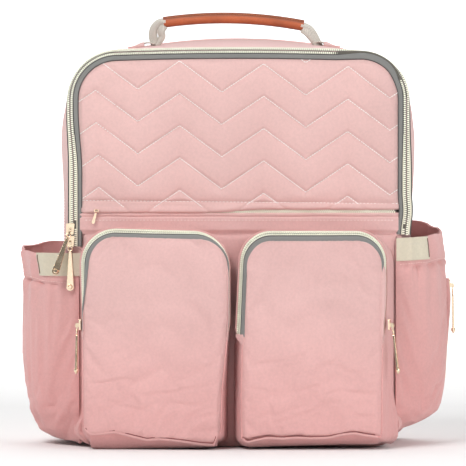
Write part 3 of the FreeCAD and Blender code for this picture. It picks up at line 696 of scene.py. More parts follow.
def build_body():
    """The gusset and base, soft between their two seams."""
    depth = np.concatenate([[-66.6, -66.2, -65.2, -63.6], np.linspace(-61, 60, 34), [63, 65.5, 67.4, 68.4]])
    front, back, out, point = body_walls(depth)
    x, z = point[..., 0], point[..., 2]
    middle = np.sin(np.clip((depth + 62) / 126, 0, 1) * math.pi) ** 0.7
    flanks = smooth(np.abs(x), 130, 165)
    upright = smooth(z, 30, 80) * flanks
    soft = upright * (0.8 * middle + 1.3 * noise(point, (60, 30, 75), 3, 2) * middle)
    soft += (1 - upright) * smooth(z, 300, 380) * 0.5 * noise(point, 50, 5, 2) * middle
    edge = -2.6 * (1 - smooth(depth, -66.6, -61.5)) ** 1.6 - 2.6 * smooth(depth, 64, 68.4) ** 1.6
    swell = 3.9 * middle * smooth(z, 215, 285) * smooth(z, 346, 304) * flanks
    grid = point + out[:, None] * (soft + swell + edge + corner_sag(x, z))[..., None]
    grid[..., 2] = np.maximum(grid[..., 2], 0.05)
    body = shell("bag_gusset", grid, 2.4, MAT["pink"], wrap=True, flip=True)
    done(body, "bag", "pink_fabric", "gusset", "base_panel")
    upper = slice(72, 344)  # the outline above its lower corners
    for name, outline, y, proud in (("front", front, -60.5, 0.0), ("back", back, 62.0, 0.6)):
        path = np.insert(outline[upper], 1, y, 1) + out[upper] * proud
        stitches("stitch_gusset_seam_" + name, path, out[upper], MAT["pink_thread"], "bag", radius=0.3)
    build_back(out)
    build_front()
    build_inside()


def build_back(out):
    """The padded back panel: sewn channels, a soft rim and piping."""
    inset = 1.2
    xs = arch_columns(BACK, inset, 96)
    foot = foot_height(xs, BACK["half"] - inset - FOOT)
    x, z = columns(xs, foot + inset, arch_top(xs, BACK, inset), 150)
    rim = np.minimum(arch_depth(x, z, BACK, inset), z - foot[:, None])
    upright, low, high = 34, 128, 250  # the sewn lines: two upright, one right across, one outside the uprights
    seams = np.minimum(np.abs(np.abs(x) - upright), np.abs(z - low))
    seams = np.minimum(seams, np.where(np.abs(x) > upright, np.abs(z - high), 99))
    inside = smooth(rim, 12, 22)
    puff = 3.0 * (1 - np.exp(-seams / 5)) * inside + 1.0 * smooth(rim, 0, 6)
    puff += 0.35 * noise(at(x, 0, z), 26, 9, 2) * inside
    # flat under the yoke and under the straps' anchors
    free = 1 - smooth(z, 362, 371) * smooth(np.abs(x), 96, 88) * smooth(z, 405, 400)
    free *= 1 - smooth(np.abs(x), 120, 130) * smooth(z, 74, 68)
    y = BACK_Y - 2.2 + puff * (0.35 + 0.65 * free) + 1.2 * smooth(rim, 0, 2)
    back = shell("back_padding", at(x, y, z), 0, MAT["pink_deep"], inner=at(x, 62.6, z), flip=True)
    done(back, "bag", "pink_fabric_dark", "back_panel")
    rows = [((-upright, 18), (-upright, 355)), ((upright, 18), (upright, 355)), ((-150, low), (150, low))]
    rows += [((-150, high), (-36, high)), ((36, high), (150, high))]
    for number, ends in enumerate(rows):
        run = np.insert(np.array(ends, float), 1, BACK_Y - 0.9, 1)
        stitches(f"stitch_back_{number}", run, OUT_BACK, MAT["pink_thread"], "bag", radius=0.32, pitch=3.2)
    outline = ring(BACK)
    path = at(outline[:, 0], 67.0, np.maximum(outline[:, 1], 1.4)) - out * 0.8
    piping = sweep("back_piping", path, out, OUT_BACK, rounded(3.0, 3.0, steps=3), MAT["pink_deep"], True)
    done(piping, "bag", "pink_fabric_dark")


def build_front():
    """The fixed lower front, and the strip that folds when the lid opens; the strip is only baked in place, without a
    fold.
    """
    xs = np.linspace(-164.0, 164.0, 110)
    foot = foot_height(xs, 139) + 0.6 + 9 * smooth(xs, 140, 165)
    x, z = columns(xs, foot, np.where(xs > 159, 211.5, 219.4), 90)
    point, ax = at(x, 0, z), np.abs(x)
    y = FRONT_Y + 0.3 + 0.5 * noise(point, (30, 10, 24), 11, 2)
    y -= 0.8 * folds(point, (9, 10, 40), 12) * smooth(ax, 152, 160)
    y += 3.2 * smooth(ax, 153.5, 155.5) * smooth(z, 199, 201) * (x < 150)
    y += 1.4 * smooth(z, 210, 214) + 6.0 * smooth(ax, 156, 164) * (z < 203)
    done(shell("front_lower_cloth", at(x, y, z), 1.8, MAT["pink"]), "bag", "pink_fabric")

    xs = np.linspace(-157.5, 161.0, 150)
    zs = np.concatenate([np.linspace(213, 228, 20), np.linspace(228.6, 234.6, 16)])
    x, z = np.meshgrid(xs, zs, indexing="ij")
    point = at(x, 0, z)
    groove = np.exp(-(((z - 230.2 - 0.7 * noise(point, (45, 1, 400), 21, 2)) / 0.9) ** 2))
    y = FRONT_Y - 1.2 - 0.5 * smooth(z, 213, 217) + 1.1 * groove + 0.35 * noise(point, (28, 1, 12), 22, 2)
    y += 2.2 * smooth(z, 233.0, 234.6) + 1.7 * smooth(z, 218, 213)
    strip = shell("lid_fold_strip", at(x, y, z), 1.4, MAT["pink"])
    done(strip, LID_FOLD, "pink_fabric", "lid_lower_strip", "front_lower_panel")
    path = at(xs[3:-3], FRONT_Y - 1.75, 226.9)
    stitches("stitch_strip", path, OUT_FRONT, MAT["thread"], "lid", pitch=3.4, radius=0.24)


def build_inside():
    """Lining, base insert and the gathered pocket on the back wall, seen when the lid is open."""
    depth = np.linspace(-60.5, 55, 26)
    _, _, out, point = body_walls(depth)
    slack = np.clip(1.3 * folds(point, (46, 30, 60), 31) + 0.6 * noise(point, 30, 32), 0, 2.4)
    slack *= np.sin((depth + 60.5) / 115.5 * math.pi)
    walls = point - out[:, None] * (5.2 - corner_sag(point[..., 0], point[..., 2]) + slack)[..., None]
    done(shell("lining_walls", walls, -0.7, MAT["lining"], wrap=True, flip=True), "bag", "lining_fabric", "lining")

    rear = {k: lerp(FRONT[k], BACK[k], 0.94) for k in FRONT}  # the outline where the back lining lies
    xs = arch_columns(rear, 5.0, 60, 12)
    x, z = columns(xs, 6.0, arch_top(xs, rear, 5.0), 70)
    x = x * (1 - 0.12 * smooth(z, 30, 6))
    y = 54.4 + 0.8 * noise(at(x, 0, z), 40, 33, 2)
    done(shell("lining_back", at(x, y, z), 0.7, MAT["lining"]), "bag", "lining_fabric")
    sheet = arch_path(rear, 11.0, 18, 18)
    foam = cap_loops("back_foam_sheet", [np.insert(sheet, 1, y, 1) for y in (56.2, 61.6)], MAT["lining"])
    done(foam, "bag", "foam", "back_foam")

    half = 126
    x, z = np.meshgrid(np.linspace(-half, half, 120), np.linspace(13, 191, 60), indexing="ij")
    gather = np.sin(x * TAU / 9.0 + 1.4 * np.sin(x * 0.13)) * (0.3 + 1.1 * smooth(z, 120, 186))
    belly = np.sin(np.clip((half - np.abs(x)) / half, 0, 1) * math.pi / 2) * smooth(z, 10, 60)
    y = 43.0 - 3.0 * belly + gather + 8.5 * smooth(np.abs(x), half - 7, half)
    done(shell("inner_pocket_mesh", at(x, y, z), 1.0, MAT["mesh"]), "bag", "elastic_mesh", "inner_pocket")

    board = rounded(300, 108, 14, 6)
    levels = ((6.6, 0.996), (7.2, 1.0), (10.0, 1.0), (10.6, 0.996))
    loops = [at(board[:, 0] * k, (board[:, 1] - 2) * k, height) for height, k in levels]
    done(cap_loops("base_insert", loops, MAT["lining"]), "bag", "stiffener", "base_board")


# ---- quilted lid --------------------------------------------------------------------------------------------

CHEVRON_PERIOD, CHEVRON_RISE, CHEVRON_PITCH = 84.0, 29.6, 32.3
CHEVRON_ROWS = range(-1, 6)
HEM_Z = 238.2


def chevron(x, row):
    """Height of a quilting line at x; the rows drift down a little towards the right."""
    phase = ((x + 58.5) / CHEVRON_PERIOD) % 1.0
    return 386.0 - CHEVRON_PITCH * row - 0.035 * (x + 58.5) - CHEVRON_RISE * 2 * np.minimum(phase, 1 - phase)


def hem_stitch(x):
    return 246.6 - 0.010 * (x + 155)


def quilt_surface(x, z):
    """y of the quilted panel's face."""
    lines = np.min([np.abs(z - chevron(x, row)) for row in CHEVRON_ROWS], 0) * 0.82
    lines = np.minimum(lines, np.abs(z - hem_stitch(x)))
    edge = arch_depth(x, z, LID, PANEL_INSET)
    rim, point = np.minimum(edge, z - HEM_Z + 2), at(x, 0, z)
    puff = 2.7 * (1 - np.exp(-lines / 4.0)) + 1.1 * smooth(lines, 0, 1.3)
    puff += 0.22 * noise(point, 4.5, 41) * np.exp(-lines / 4) + 0.5 * noise(point, (40, 1, 26), 42, 2)
    side = smooth(edge, -0.5, 5)
    return FRONT_Y + 0.6 - puff * side * (0.45 + 0.55 * smooth(rim, 0, 14)) - 0.9 * side


def build_lid():
    xs = arch_columns(LID, PANEL_INSET, 190, 26)
    low = HEM_Z - 1.0 - 3.4 * smooth(xs, 30, -40) + 0.5 * noise(at(xs, 0, 0), 50, 44)
    x, z = columns(xs, low, arch_top(xs, LID, PANEL_INSET), 140)
    above = z - low[:, None]
    y = quilt_surface(x, z) - 1.6 * smooth(above, 9, 3) + 2.4 * smooth(above, 1.6, 0)
    grid = on_lid(x, y, z)
    inner = at(grid[..., 0], np.maximum(y + 1.2, FRONT_Y + 2.6), grid[..., 2])
    panel = shell("quilted_panel", grid, 0, MAT["quilt"], inner=inner)
    done(panel, "lid", "pink_fabric", "lid_quilted_panel")

    x = np.arange(-160, 160, 0.8)
    heights = [chevron(x, row) for row in CHEVRON_ROWS] + [hem_stitch(x)]
    for number, z in enumerate(heights):
        hem = number == len(heights) - 1
        sewn = {"pitch": 3.6 if hem else 2.7, "length": 2.4, "radius": 0.36 if hem else 0.56}
        keep = (arch_depth(x, z, LID, PANEL_INSET) > 1.5) & (z > HEM_Z + 1.5)
        for part, run in enumerate(np.split(np.arange(len(x)), np.flatnonzero(np.diff(keep)) + 1)):
            if keep[run[0]] and len(run) >= 6:
                path = on_lid(x[run], quilt_surface(x[run], z[run]) - 0.75, z[run])
                stitches(f"quilting_{number}_{part}", path, OUT_FRONT, MAT["thread"], "lid", **sewn)

    xs = arch_columns(LID, 9.0, 60, 12)
    x, z = columns(xs, 221.5, arch_top(xs, LID, 9.0), 50)
    y = -61.6 + 0.4 * noise(at(x, 0, z), 40, 45, 2)
    done(shell("lid_lining_cloth", at(x, y, z), -0.8, MAT["lining"]), LID_FOLD, "lining_fabric", "lid_lining")
    build_front_zip()


def build_front_zip():
    """The concealed zip under the quilted panel's hem."""
    base = at(np.arange(-152, 157.1, 1.5), -65.9, 235.9)
    # the tape behind the teeth is near black: painted shade under the hem
    back = sweep("front_zip_tape", base + [0, 0.9, 0], UPWARD, OUT_FRONT, rounded(15, 0.7, 0.3, 2), MAT["core"])
    done(back, "lid", "zip_cream", "front_zip")
    zip_rows("front_zip", base, UPWARD, OUT_FRONT, ("lid", "lid"), pitch=1.9, reach=2.6, height=1.4)


# ---- zips ---------------------------------------------------------------------------------------------------


def zip_rows(name, path, side, up, bodies, pitch=2.0, reach=2.5, height=1.7, offset=0.0):
    """Two interleaved rows of moulded teeth: the first row lies on the far side of the centre line."""
    line = resample(np.hstack([path, along(side, path), along(up, path)]), pitch=pitch)
    tooth = bead(reach, pitch * 0.86, height, rings=3)
    for row, body in enumerate(bodies):
        if body is not None:
            both = (line[1:] + line[:-1]) / 2 if row else line
            across, rise = unit(both[:, 3:6]), unit(both[:, 6:])
            centre = both[:, :3] + across * (1.0 if row else -1.0) * (reach / 2 - 0.35 + offset)
            done(scatter(f"{name}_teeth_{row}", tooth, centre, across, rise, MAT["coil"]), body, "zip_cream")


def tape(name, path, across, up, start, end, thick, dye, body, *nodes, radius=None):
    """A strip of tape beside a zip. Its two edges lie at their own distances across the centre line."""
    across = along(across, path)
    start, end = (np.broadcast_to(np.asarray(d, float), len(path))[:, None] for d in (start, end))
    width = float(np.mean(end - start))
    profile = rounded(width, thick, min(thick, width) * 0.45 if radius is None else radius, 3)
    strip = sweep(name, path + across * (start + end) / 2, across * (end - start) / width, up, profile, MAT[dye])
    done(strip, body, "zip_cream", *nodes)


def build_main_zip():
    """The U zip. Its outer half stays with the bag; the inner half and its grey tape go with the lid."""
    zip_y, left_end, right_end = -66.6, 200.5, 212.5
    flat = resample(arch_path(LID, 0.0, left_end, right_end), pitch=2.0)
    path = on_lid(flat[:, 0], zip_y, flat[:, 1])
    path[:, 0] += 1.3 * np.sin(path[:, 2] / 9.0) * smooth(path[:, 2], 262, 225) * (path[:, 0] > 0)
    up = along(OUT_FRONT, path)
    inward = beside(path, up)
    inward = np.where(np.einsum("ij,ij->i", inward, [0, 0, 250.0] - path)[:, None] < 0, -inward, inward)
    x, z = path[:, 0], path[:, 2]
    left = x < 0
    halves = (("left", left), ("right", ~left))
    low, hidden = smooth(z, 330, 270), rolled(x, z)
    # towards the corners and the top the outer row rolls over the edge
    turn = lerp(26.0, 6.0, low) + 62 * hidden + 20 * smooth(x, -105, -140) * smooth(z, 345, 372)
    turn = np.radians(turn)[:, None]
    away = -inward * np.cos(turn) - up * np.sin(turn)
    sunk = 3.0 * hidden
    chain = path + at(0, sunk, 0)
    inner, border, rim = lerp(2.8, 3.9, low) - 1.9 * hidden, 8.1, lerp(3.4, 4.6, low)

    def strip(name, part, back, across, start, end, *rest, radius=None):
        """Tape beside one part of the zip, a little behind the chain."""
        start, end = (np.broadcast_to(d, len(path))[part] for d in (start, end))
        line = (path + at(0, back + 0 * z, 0))[part]
        tape("main_zip_" + name, line, across[part], OUT_FRONT, start, end, *rest, radius=radius)

    zip_rows("main_zip_outer", chain, -away, unit(up + 0.3 * away), ("bag", None), offset=0.75)
    whole = z > 0
    strip("outer_tape", whole, sunk + 0.4, away, 2.3, rim, 1.6, "pale_tape", "bag", "main_zip_outer_half")
    # outer_core is a near-black backing behind the outer teeth, painted shade in their gaps; outer_edge is a dark
    # line of painted shade along the pale tape
    strip("outer_core", whole, sunk + 0.2, -away, -3.0, -0.1, 1.2, "core", "bag")
    for name, half in halves:
        grow = 0.3 + 0.9 * smooth(z, 352, 325)
        strip("outer_edge_" + name, half & (z < 352), sunk + 0.7, away, rim - 0.2, rim + grow, 1.4, "dark", "bag")
        fold = half & (z > 214) & (z < (232 if name == "left" else 228))
        strip("fold_" + name, fold, 0.9, inward, inner, border, 1.4, "tape", LID_FOLD)
    for name, body, part in (
        ("lid", "lid", z > np.where(left, 226.0, 221.5)),
        ("low_left", "bag", left & (z < 220.5)),
        ("low_right", "bag", ~left & (z < 220.5)),
    ):
        zip_rows(f"main_zip_{name}", chain[part], inward[part], up[part], (None, body), offset=0.75)
        grey = z > 218.4 if name == "lid" else part
        # core, shade and edge are painted shade: a near-black backing under the teeth, and dark lines either side of
        # the grey tape
        strip(name + "_core", grey, 0.2, inward, 0.1, 3.0, 1.2, "core", body)
        for way, half in halves:
            run = grey & half & (inner > 3.0)
            if run.any():
                strip(f"{name}_pale_{way}", run, 0.3, inward, 2.4, inner + 0.1, 1.4, "pale_tape", body)
        strip(name + "_shade", grey, 0.3, inward, inner - 0.1, inner + 1.1, 1.3, "dark", body)
        nodes = ["main_zip_lid_half"] if name == "lid" else []
        strip(name + "_tape", grey, 0.0, inward, inner + 0.9, border - 0.3, 1.8, "tape", body, *nodes)
        strip(name + "_edge", grey, 0.6, inward, border - 0.5, border + 0.5, 1.4, "dark", body, radius=0.63)


# ---- front pockets ------------------------------------------------------------------------------------------

POCKET_FOLD_Z = 108.0
LEFT = {
    "name": "left",
    "base": (-151.0, -11.0, 4.0, 213.0, 30.0),  # left, right, bottom, top and radius of top corners, at the body
    "rim": (-155.4, -8.4, 1.0, 220.6, 36.0),  # at the zip
    "face": (-148.0, -9.6, 15.0, 212.4, 27.0),  # at the front
    "top_slope": -0.030,
    "rim_left": ((20, 1.4), (140, 1.4), (175, 0.0)),  # height, shift
    "rim_right": ((10, -8.0), (60, -6.5), (130, 0.0)),
    "face_left": ((20, -4.6), (140, -5.2), (190, 0.0)),
    "face_right": ((10, -8.0), (60, -6.5), (130, 0.2)),
    "seam": (  # x, height of the face's bottom seam
        *((-153, 21.5), (-146, 16.5), (-136, 17.0), (-122, 18.6), (-106, 14.6)),
        *((-90, 10.6), (-78, 11.8), (-57, 9.6), (-37, 6.6), (-17, 5.4)),
    ),
    # x, height of the pocket's underside
    "under": ((-154, 8), (-146, 1.2), (-126, 0.3), (-98, 1.4), (-42, 2.0), (-20, 3.2), (-14, 6)),
    "rolls": {"left": (152, 132), "right": (196, 174)},  # where the flap's cloth hides the zip
    "seed": 60,
}
RIGHT = {
    "name": "right",
    "base": (1.5, 155.0, 4.0, 212.0, 30.0),
    "rim": (2.6, 147.4, 3.0, 217.2, 31.0),
    "face": (9.0, 143.8, 12.0, 207.4, 24.0),
    "top_slope": 0.0,
    "rim_left": ((10, -4.2), (60, -6.4), (112, -4.0), (190, 0.0)),
    "rim_right": ((10, -1.5), (120, -2.0), (150, 0.0)),
    "face_left": ((10, -4.0), (60, -4.4), (130, -2.8), (200, 0.0)),
    "face_right": ((10, -1.5), (120, -0.6), (170, 0.0)),
    "seam": (
        *((4, 9.8), (11, 8.4), (17, 10.4), (30, 12.8), (45, 12.0), (58, 13.0)),
        *((74, 12.4), (91, 13.0), (104, 16.2), (116, 17.4), (127, 15.4), (143, 13.2)),
    ),
    "under": ((0, 5.5), (8, 2.6), (40, 3.6), (96, 5.2), (132, 5.4), (146, 8)),
    "rolls": {"right": (196, 172)},
    "seed": 80,
}
CORNER, BASE = 8, 244  # where a pocket's loop leaves its first corner, and where its bottom edge starts


def rounded_loop(x0, x1, z0, z1, top, low):
    """A closed loop from the bottom left corner up the left side, over the top and back along the base."""
    q = math.pi / 2
    up = [arc(x0 + low, z0 + low, low, 3 * q, 2 * q, CORNER), between((x0, z0 + low), (x0, z1 - top), 70)]
    over = [arc(x0 + top, z1 - top, top, 2 * q, q, 24), between((x0 + top, z1), (x1 - top, z1), 40)]
    down = [arc(x1 - top, z1 - top, top, q, 0, 24), between((x1, z1 - top), (x1, z0 + low), 70)]
    back = [arc(x1 - low, z0 + low, low, 0, -q, CORNER), between((x1 - low, z0), (x0 + low, z0), 60)]
    return np.vstack([*up, *over, *down, *back])


def warp(flat, pocket, kind):
    """Bends a straight-sided loop to the pocket's real left, right and top edges."""
    x0, x1 = pocket[kind][:2]
    x, z = flat[:, 0], flat[:, 1]
    left, right = (table(pocket[f"{kind}_{side}"], z) for side in ("left", "right"))
    shift = lerp(left, right, np.clip((x - x0) / (x1 - x0), 0, 1))
    return np.stack([x + shift, z + pocket["top_slope"] * (x - x0) * smooth(z, 90, 210)], 1)


def flap_fold(pocket):
    """The bodies that a flap's cloth joins, and the span where it bends."""
    return "bag", pocket["name"] + "_flap", (0, -112, POCKET_FOLD_Z - 7), (0, -112, POCKET_FOLD_Z + 7)


def build_pocket(pocket):
    """The pocket's wall, from the body out to the zip, and below the zip's ends out to the face's seam."""
    name, seed = pocket["name"], pocket["seed"]
    body_y, seam_y, zip_y = -66.3, -110.6, -104.2
    base = rounded_loop(*pocket["base"], 9)
    base[:, 0] += 4.5 * smooth(base[:, 1], 60, 24) * (base[:, 0] > 140)
    base[:, 0] -= 3.6 * smooth(base[:, 1], 124, 98) * (base[:, 0] > -5) * (base[:, 0] < 20)
    rim, face = (warp(rounded_loop(*pocket[kind], low), pocket, kind) for kind, low in (("rim", 9), ("face", 5)))
    seam, index = table(pocket["seam"], face[:, 0]), np.arange(len(face))
    face[:, 1] = np.where(index >= BASE, seam, np.maximum(face[:, 1], seam))
    face[:CORNER, 1] = seam[:CORNER] + np.linspace(0, 2, CORNER)

    low_row = (index >= BASE)[:, None]
    zipped = smooth(rim[:, 1], 104, 122) * (index >= CORNER) * (index < BASE - CORNER)
    edge = lerp(face, rim, zipped[:, None])
    v = np.linspace(0, 1, 26)
    flat = lerp(base[:, None], edge[:, None], v[None, :, None])
    y = lerp(body_y, lerp(seam_y, zip_y, zipped)[:, None], v[None])
    point, arch = at(flat[..., 0], y, flat[..., 1]), np.sin(v * math.pi)[None]
    swell = arch * (1.2 + 1.5 * noise(point, (30, 26, 46), seed, 2) + 1.2 * folds(point, (50, 14, 50), seed + 1))
    swell = np.minimum(swell * 0.75, 2.0) - 0.9 * arch
    flat = flat - outward(base)[:, None] * (swell * (1 - 0.6 * low_row))[..., None]
    z, belly = flat[..., 1], np.sin(v**2.2 * math.pi)[None]
    under = table(pocket["under"], edge[:, 0])[:, None]
    z = np.where(low_row, lerp(z, np.minimum(under, z), belly), z)
    y = y + 8.0 * low_row * arch**0.8
    z = np.maximum(z - 3.0 * smooth(z, 24, 6) * belly * ~low_row, 0.2)
    # the wall is cut from the face's pink cloth but takes the darker side cloth: painted shade
    wall = shell(name + "_pocket_wall", at(flat[..., 0], y, z), 1.4, MAT["pink_deep"], wrap=True)
    done(wall, "bag", "pink_fabric", name + "_pocket_gusset", name + "_pocket_gusset_teeth")
    build_pocket_face(pocket, face)
    build_pocket_zip(pocket, rim, face)


def build_pocket_face(pocket, face):
    """The pocket's front: one soft panel, which would bend at the fold when the flap opens; it is only baked in
    place.
    """
    name, seed = pocket["name"] + "_pocket_", pocket["seed"]
    nu, nv = 96, 120
    # a patch between the four edges
    left, right = resample(face[7:102], count=nv), resample(face[142:243][::-1], count=nv)
    seam = resample(np.vstack([face[BASE:], face[:CORNER]])[::-1], count=nu)
    roof = resample(face[101:143], count=nu)
    low = resample(np.vstack([left[:1], seam[1:-1], right[:1]]), count=nu)
    top = resample(np.vstack([left[-1:], roof[1:-1], right[-1:]]), count=nu)
    u, v = np.linspace(0, 1, nu)[:, None], np.linspace(0, 1, nv)[None]
    uu, vv = u[..., None], v[..., None]
    patch = lerp(low[:, None], top[:, None], vv) + lerp(left[None], right[None], uu)
    patch = patch - lerp(lerp(low[:1, None], low[-1:, None], uu), lerp(top[:1, None], top[-1:, None], uu), vv)
    x, z = patch[..., 0], patch[..., 1]
    point, slant = at(x, 0, z), at(x + 0.8 * z, 0, z - 0.3 * x)
    across, rise = np.minimum(u, 1 - u) * 140, v * 195
    rim = np.minimum(across, np.minimum(rise, 195 - rise))
    bulge = 3.2 * (1 - np.exp(-rim / 3.2)) + 2.0 * np.sin(u * math.pi) ** 0.6 * np.sin(v * math.pi) ** 0.5
    soft = 1.5 * noise(point, (70, 1, 60), seed + 3, 2) * smooth(rim, 2, 30)
    crease = 1.3 * folds(slant, (70, 1, 26), seed + 4) * smooth(z, 110, 10) * smooth(rim, 3, 20)
    pleats = 1.0 * noise(point, (9, 1, 40), seed + 5) * np.exp(-rise / 12) * smooth(rim, 0, 3)
    y = -110.9 - bulge - soft + crease - pleats + 2.8 * np.exp(-rise / 1.3)
    grid = drape(at(x, y, z), np.clip(1 - rim / 2.0, 0, 1), 0.25, 0.012, cap=3.0)
    nodes = [name + part for part in ("front", "flap", "flap_teeth")]
    done(shell(name + "face", grid, 1.5, MAT["pink"]), flap_fold(pocket), "pink_fabric", *nodes)
    # the bound seam along the base, and above it a dark line that paints the shade in the crease where the thread
    # sinks in
    line = at(low[:, 0], -113.0, low[:, 1] + 0.9)[2:-2]
    thread = sweep(name + "seam", line, beside(line, OUT_FRONT), OUT_FRONT, rounded(0.9, 1.4, steps=2), MAT["seam"])
    done(thread, "bag", "pink_fabric_dark")
    line = at(low[:, 0], -112.0, low[:, 1] - 0.9)
    piping = sweep(name + "piping", line, beside(line, OUT_FRONT), OUT_FRONT, rounded(2.8, 3.2, steps=3), MAT["pink"])
    done(piping, "bag", "pink_fabric")


def build_pocket_zip(pocket, rim, face):
    """The pocket's zip on the bevel between its wall and its face, with grey tape towards the face."""
    name, fold = pocket["name"] + "_pocket_", flap_fold(pocket)
    rim_y, face_y = -104.6, -111.4
    both = np.hstack([np.insert(rim, 1, rim_y, 1), np.insert(face, 1, face_y, 1)])[CORNER : BASE - CORNER]
    both = resample(both[both[:, 2] > POCKET_FOLD_Z + 3], count=260)
    outer, inner = both[:, :3], both[:, 3:]
    across = unit(inner - outer)
    up = unit(np.cross(tangents(outer), across))
    up = np.where(up[:, 1:2] > 0, -up, up)
    centre = outer + across * 3.1
    zip_rows(name + "zip", centre, across, up, ("bag", fold), reach=2.4, offset=0.62)
    # core and shade are strips of painted shade: a dark line between the two rows of teeth, and another between the
    # teeth and the grey tape
    for part, start, end, thick, back, dye, body in (
        ("tape", -3.4, -0.5, 1.0, 0.9, "pale_tape", "bag"),
        ("core", -0.5, 0.5, 1.0, 0.9, "dark", "bag"),
        ("half", 0.5, 2.6, 1.0, 0.9, "pale_tape", fold),
        ("shade", 2.4, 3.8, 1.1, 0.0, "dark", fold),
    ):
        tape(f"{name}zip_{part}", centre - up * back, across, up, start, end, thick, dye, body)
    width = np.linalg.norm(inner - outer, axis=1)
    section = ((0, 0.1), (0.25, 0.9), (0.5, 1.2), (0.75, 1.0), (1, 0.2))  # share of the width, height
    strip = np.stack([centre + across * (3.0 + (width - 4.5) * k)[:, None] + up * rise for k, rise in section], 1)
    done(shell(name + "grey_tape", strip, 0.9, MAT["tape"], flip=facing(strip)), fold, "zip_cream")
    for side, (high, low) in pocket["rolls"].items():
        rows = (outer[:, 2] < high + 2) & ((outer[:, 0] > rim[:, 0].mean()) == (side == "right"))
        flap_roll(f"{name}flap_roll_{side}", inner[rows], outer[rows], high, low, fold)
    for number, end in enumerate((0, -1)):
        # a scrap of cloth closes each end of the zip
        way, middle = across[end], (outer[end] + inner[end]) / 2
        steps = ((0, -0.4, 2.5), (0.3, -0.5, 0), (2.2, 0.0, -4), (4.0, 1.2, -8))  # along the bevel, y and z
        run = np.array([middle + way * s + [0, y, z] for s, y, z in steps])
        spread = way * np.array([[1.0], [1.0], [0.62], [0.3]])
        profile = rounded(width[end] + 0.6, 2.4, 1.1, 3)
        done(sweep(f"{name}zip_end_{number}", run, spread, up[end], profile, MAT["pink"]), fold, "pink_fabric")


def flap_roll(name, edge, far, high, low, fold):
    """Below high, the flap's cloth rolls out sideways over the zip, and from low down it hides it."""
    if edge[0, 2] < edge[-1, 2]:
        edge, far = edge[::-1], far[::-1]
    rolls = smooth(edge[:, 2], high, low)[:, None]
    sideways = (far - edge) * [1, 0, 1]
    reach = np.linalg.norm(sideways, axis=1)[:, None] - 0.3
    section = (  # distance in front of the face's edge, share of the zip's width, and y
        *((-4.2, 0, 0.7), (-2.8, 0, -0.8), (-0.8, 0, -1.7), (0, 0.45, -2.0)),
        *((0, 0.8, -1.3), (0, 1, 0.4), (-0.3, 1, 2.0)),
    )
    rows = []
    for number, (inset, share, y) in enumerate(section):
        out = lerp(-3.2 + 0.2 * number, inset + share * reach, rolls)
        rows.append(edge + unit(sideways) * out + [0, 1, 0] * lerp(1.6, y, rolls))
    grid = np.stack(rows, 1)
    done(shell(name, grid, 0.9, MAT["pink"], flip=facing(grid)), fold, "pink_fabric")


def facing(grid):
    """Whether a grid's normals point away from the front."""
    return bool(normals(grid)[..., 1].mean() > 0)


# ---- side pockets -------------------------------------------------------------------------------------------

SIDES = {
    "left": {
        "sign": -1,
        "bulge": (  # height, furthest x
            *((3, 168), (6, 182), (16, 198), (36, 207), (64, 213.8)),
            *((100, 216.0), (160, 214.6), (170, 212.6), (199, 216.4)),
        ),
        "rim": (188.5, 197.2, 203.5),  # height of the hem at the front, middle and back
        "hem": 28.0,
        "low": 3.0,
        "full": 2.6,
        "tab": (-0.012, 196.0, 0.0),  # start round the front, end in x, tilt
    },
    "right": {
        "sign": 1,
        "bulge": (
            *((15, 166), (18, 176), (24, 190), (32, 202.5), (39, 206), (57, 209.8)),
            *((105, 212.8), (150, 212.5), (182, 209.8), (205, 207.5), (216, 206.0)),
        ),
        "rim": (207.0, 213.5, 225.0),
        "hem": 27.0,
        "low": 15.0,
        "full": -0.6,
        "tab": (0.0, 190.5, 2.5),
    },
}


def side_x(y):
    return lerp(FRONT["half"], BACK["half"], depth_share(y))


def circle_through(a, b, c):
    """Centre and radius of the circle through three plan points."""
    (ax, ay), (bx, by), (cx, cy) = a, b, c
    d = 2 * (ax * (by - cy) + bx * (cy - ay) + cx * (ay - by))
    ux = ((ax**2 + ay**2) * (by - cy) + (bx**2 + by**2) * (cy - ay) + (cx**2 + cy**2) * (ay - by)) / d
    uy = ((ax**2 + ay**2) * (cx - bx) + (bx**2 + by**2) * (ax - cx) + (cx**2 + cy**2) * (bx - ax)) / d
    return (ux, uy), np.hypot(ax - ux, ay - uy)


def side_plan(side, z, t):
    """x and y of a side pocket's outer face at height z; t runs from its front seam (0) to its back seam (1)."""
    ends = (158.5, -69.0 + 7.0 * (1 - smooth(z, 20, 42))), (side_x(57.0), 57.0)
    (cx, cy), radius = circle_through(ends[0], (table(side["bulge"], z), -6.0), ends[1])
    angle = lerp(*(np.arctan2(y - cy, x - cx) for x, y in ends), t)
    return cx + radius * np.cos(angle), cy + radius * np.sin(angle)


def rim_height(side, t):
    return np.interp(t, (0, 0.5, 1), side["rim"]) + 0.8 * np.sin(t * 23) * smooth(t, 0.1, 0.3)


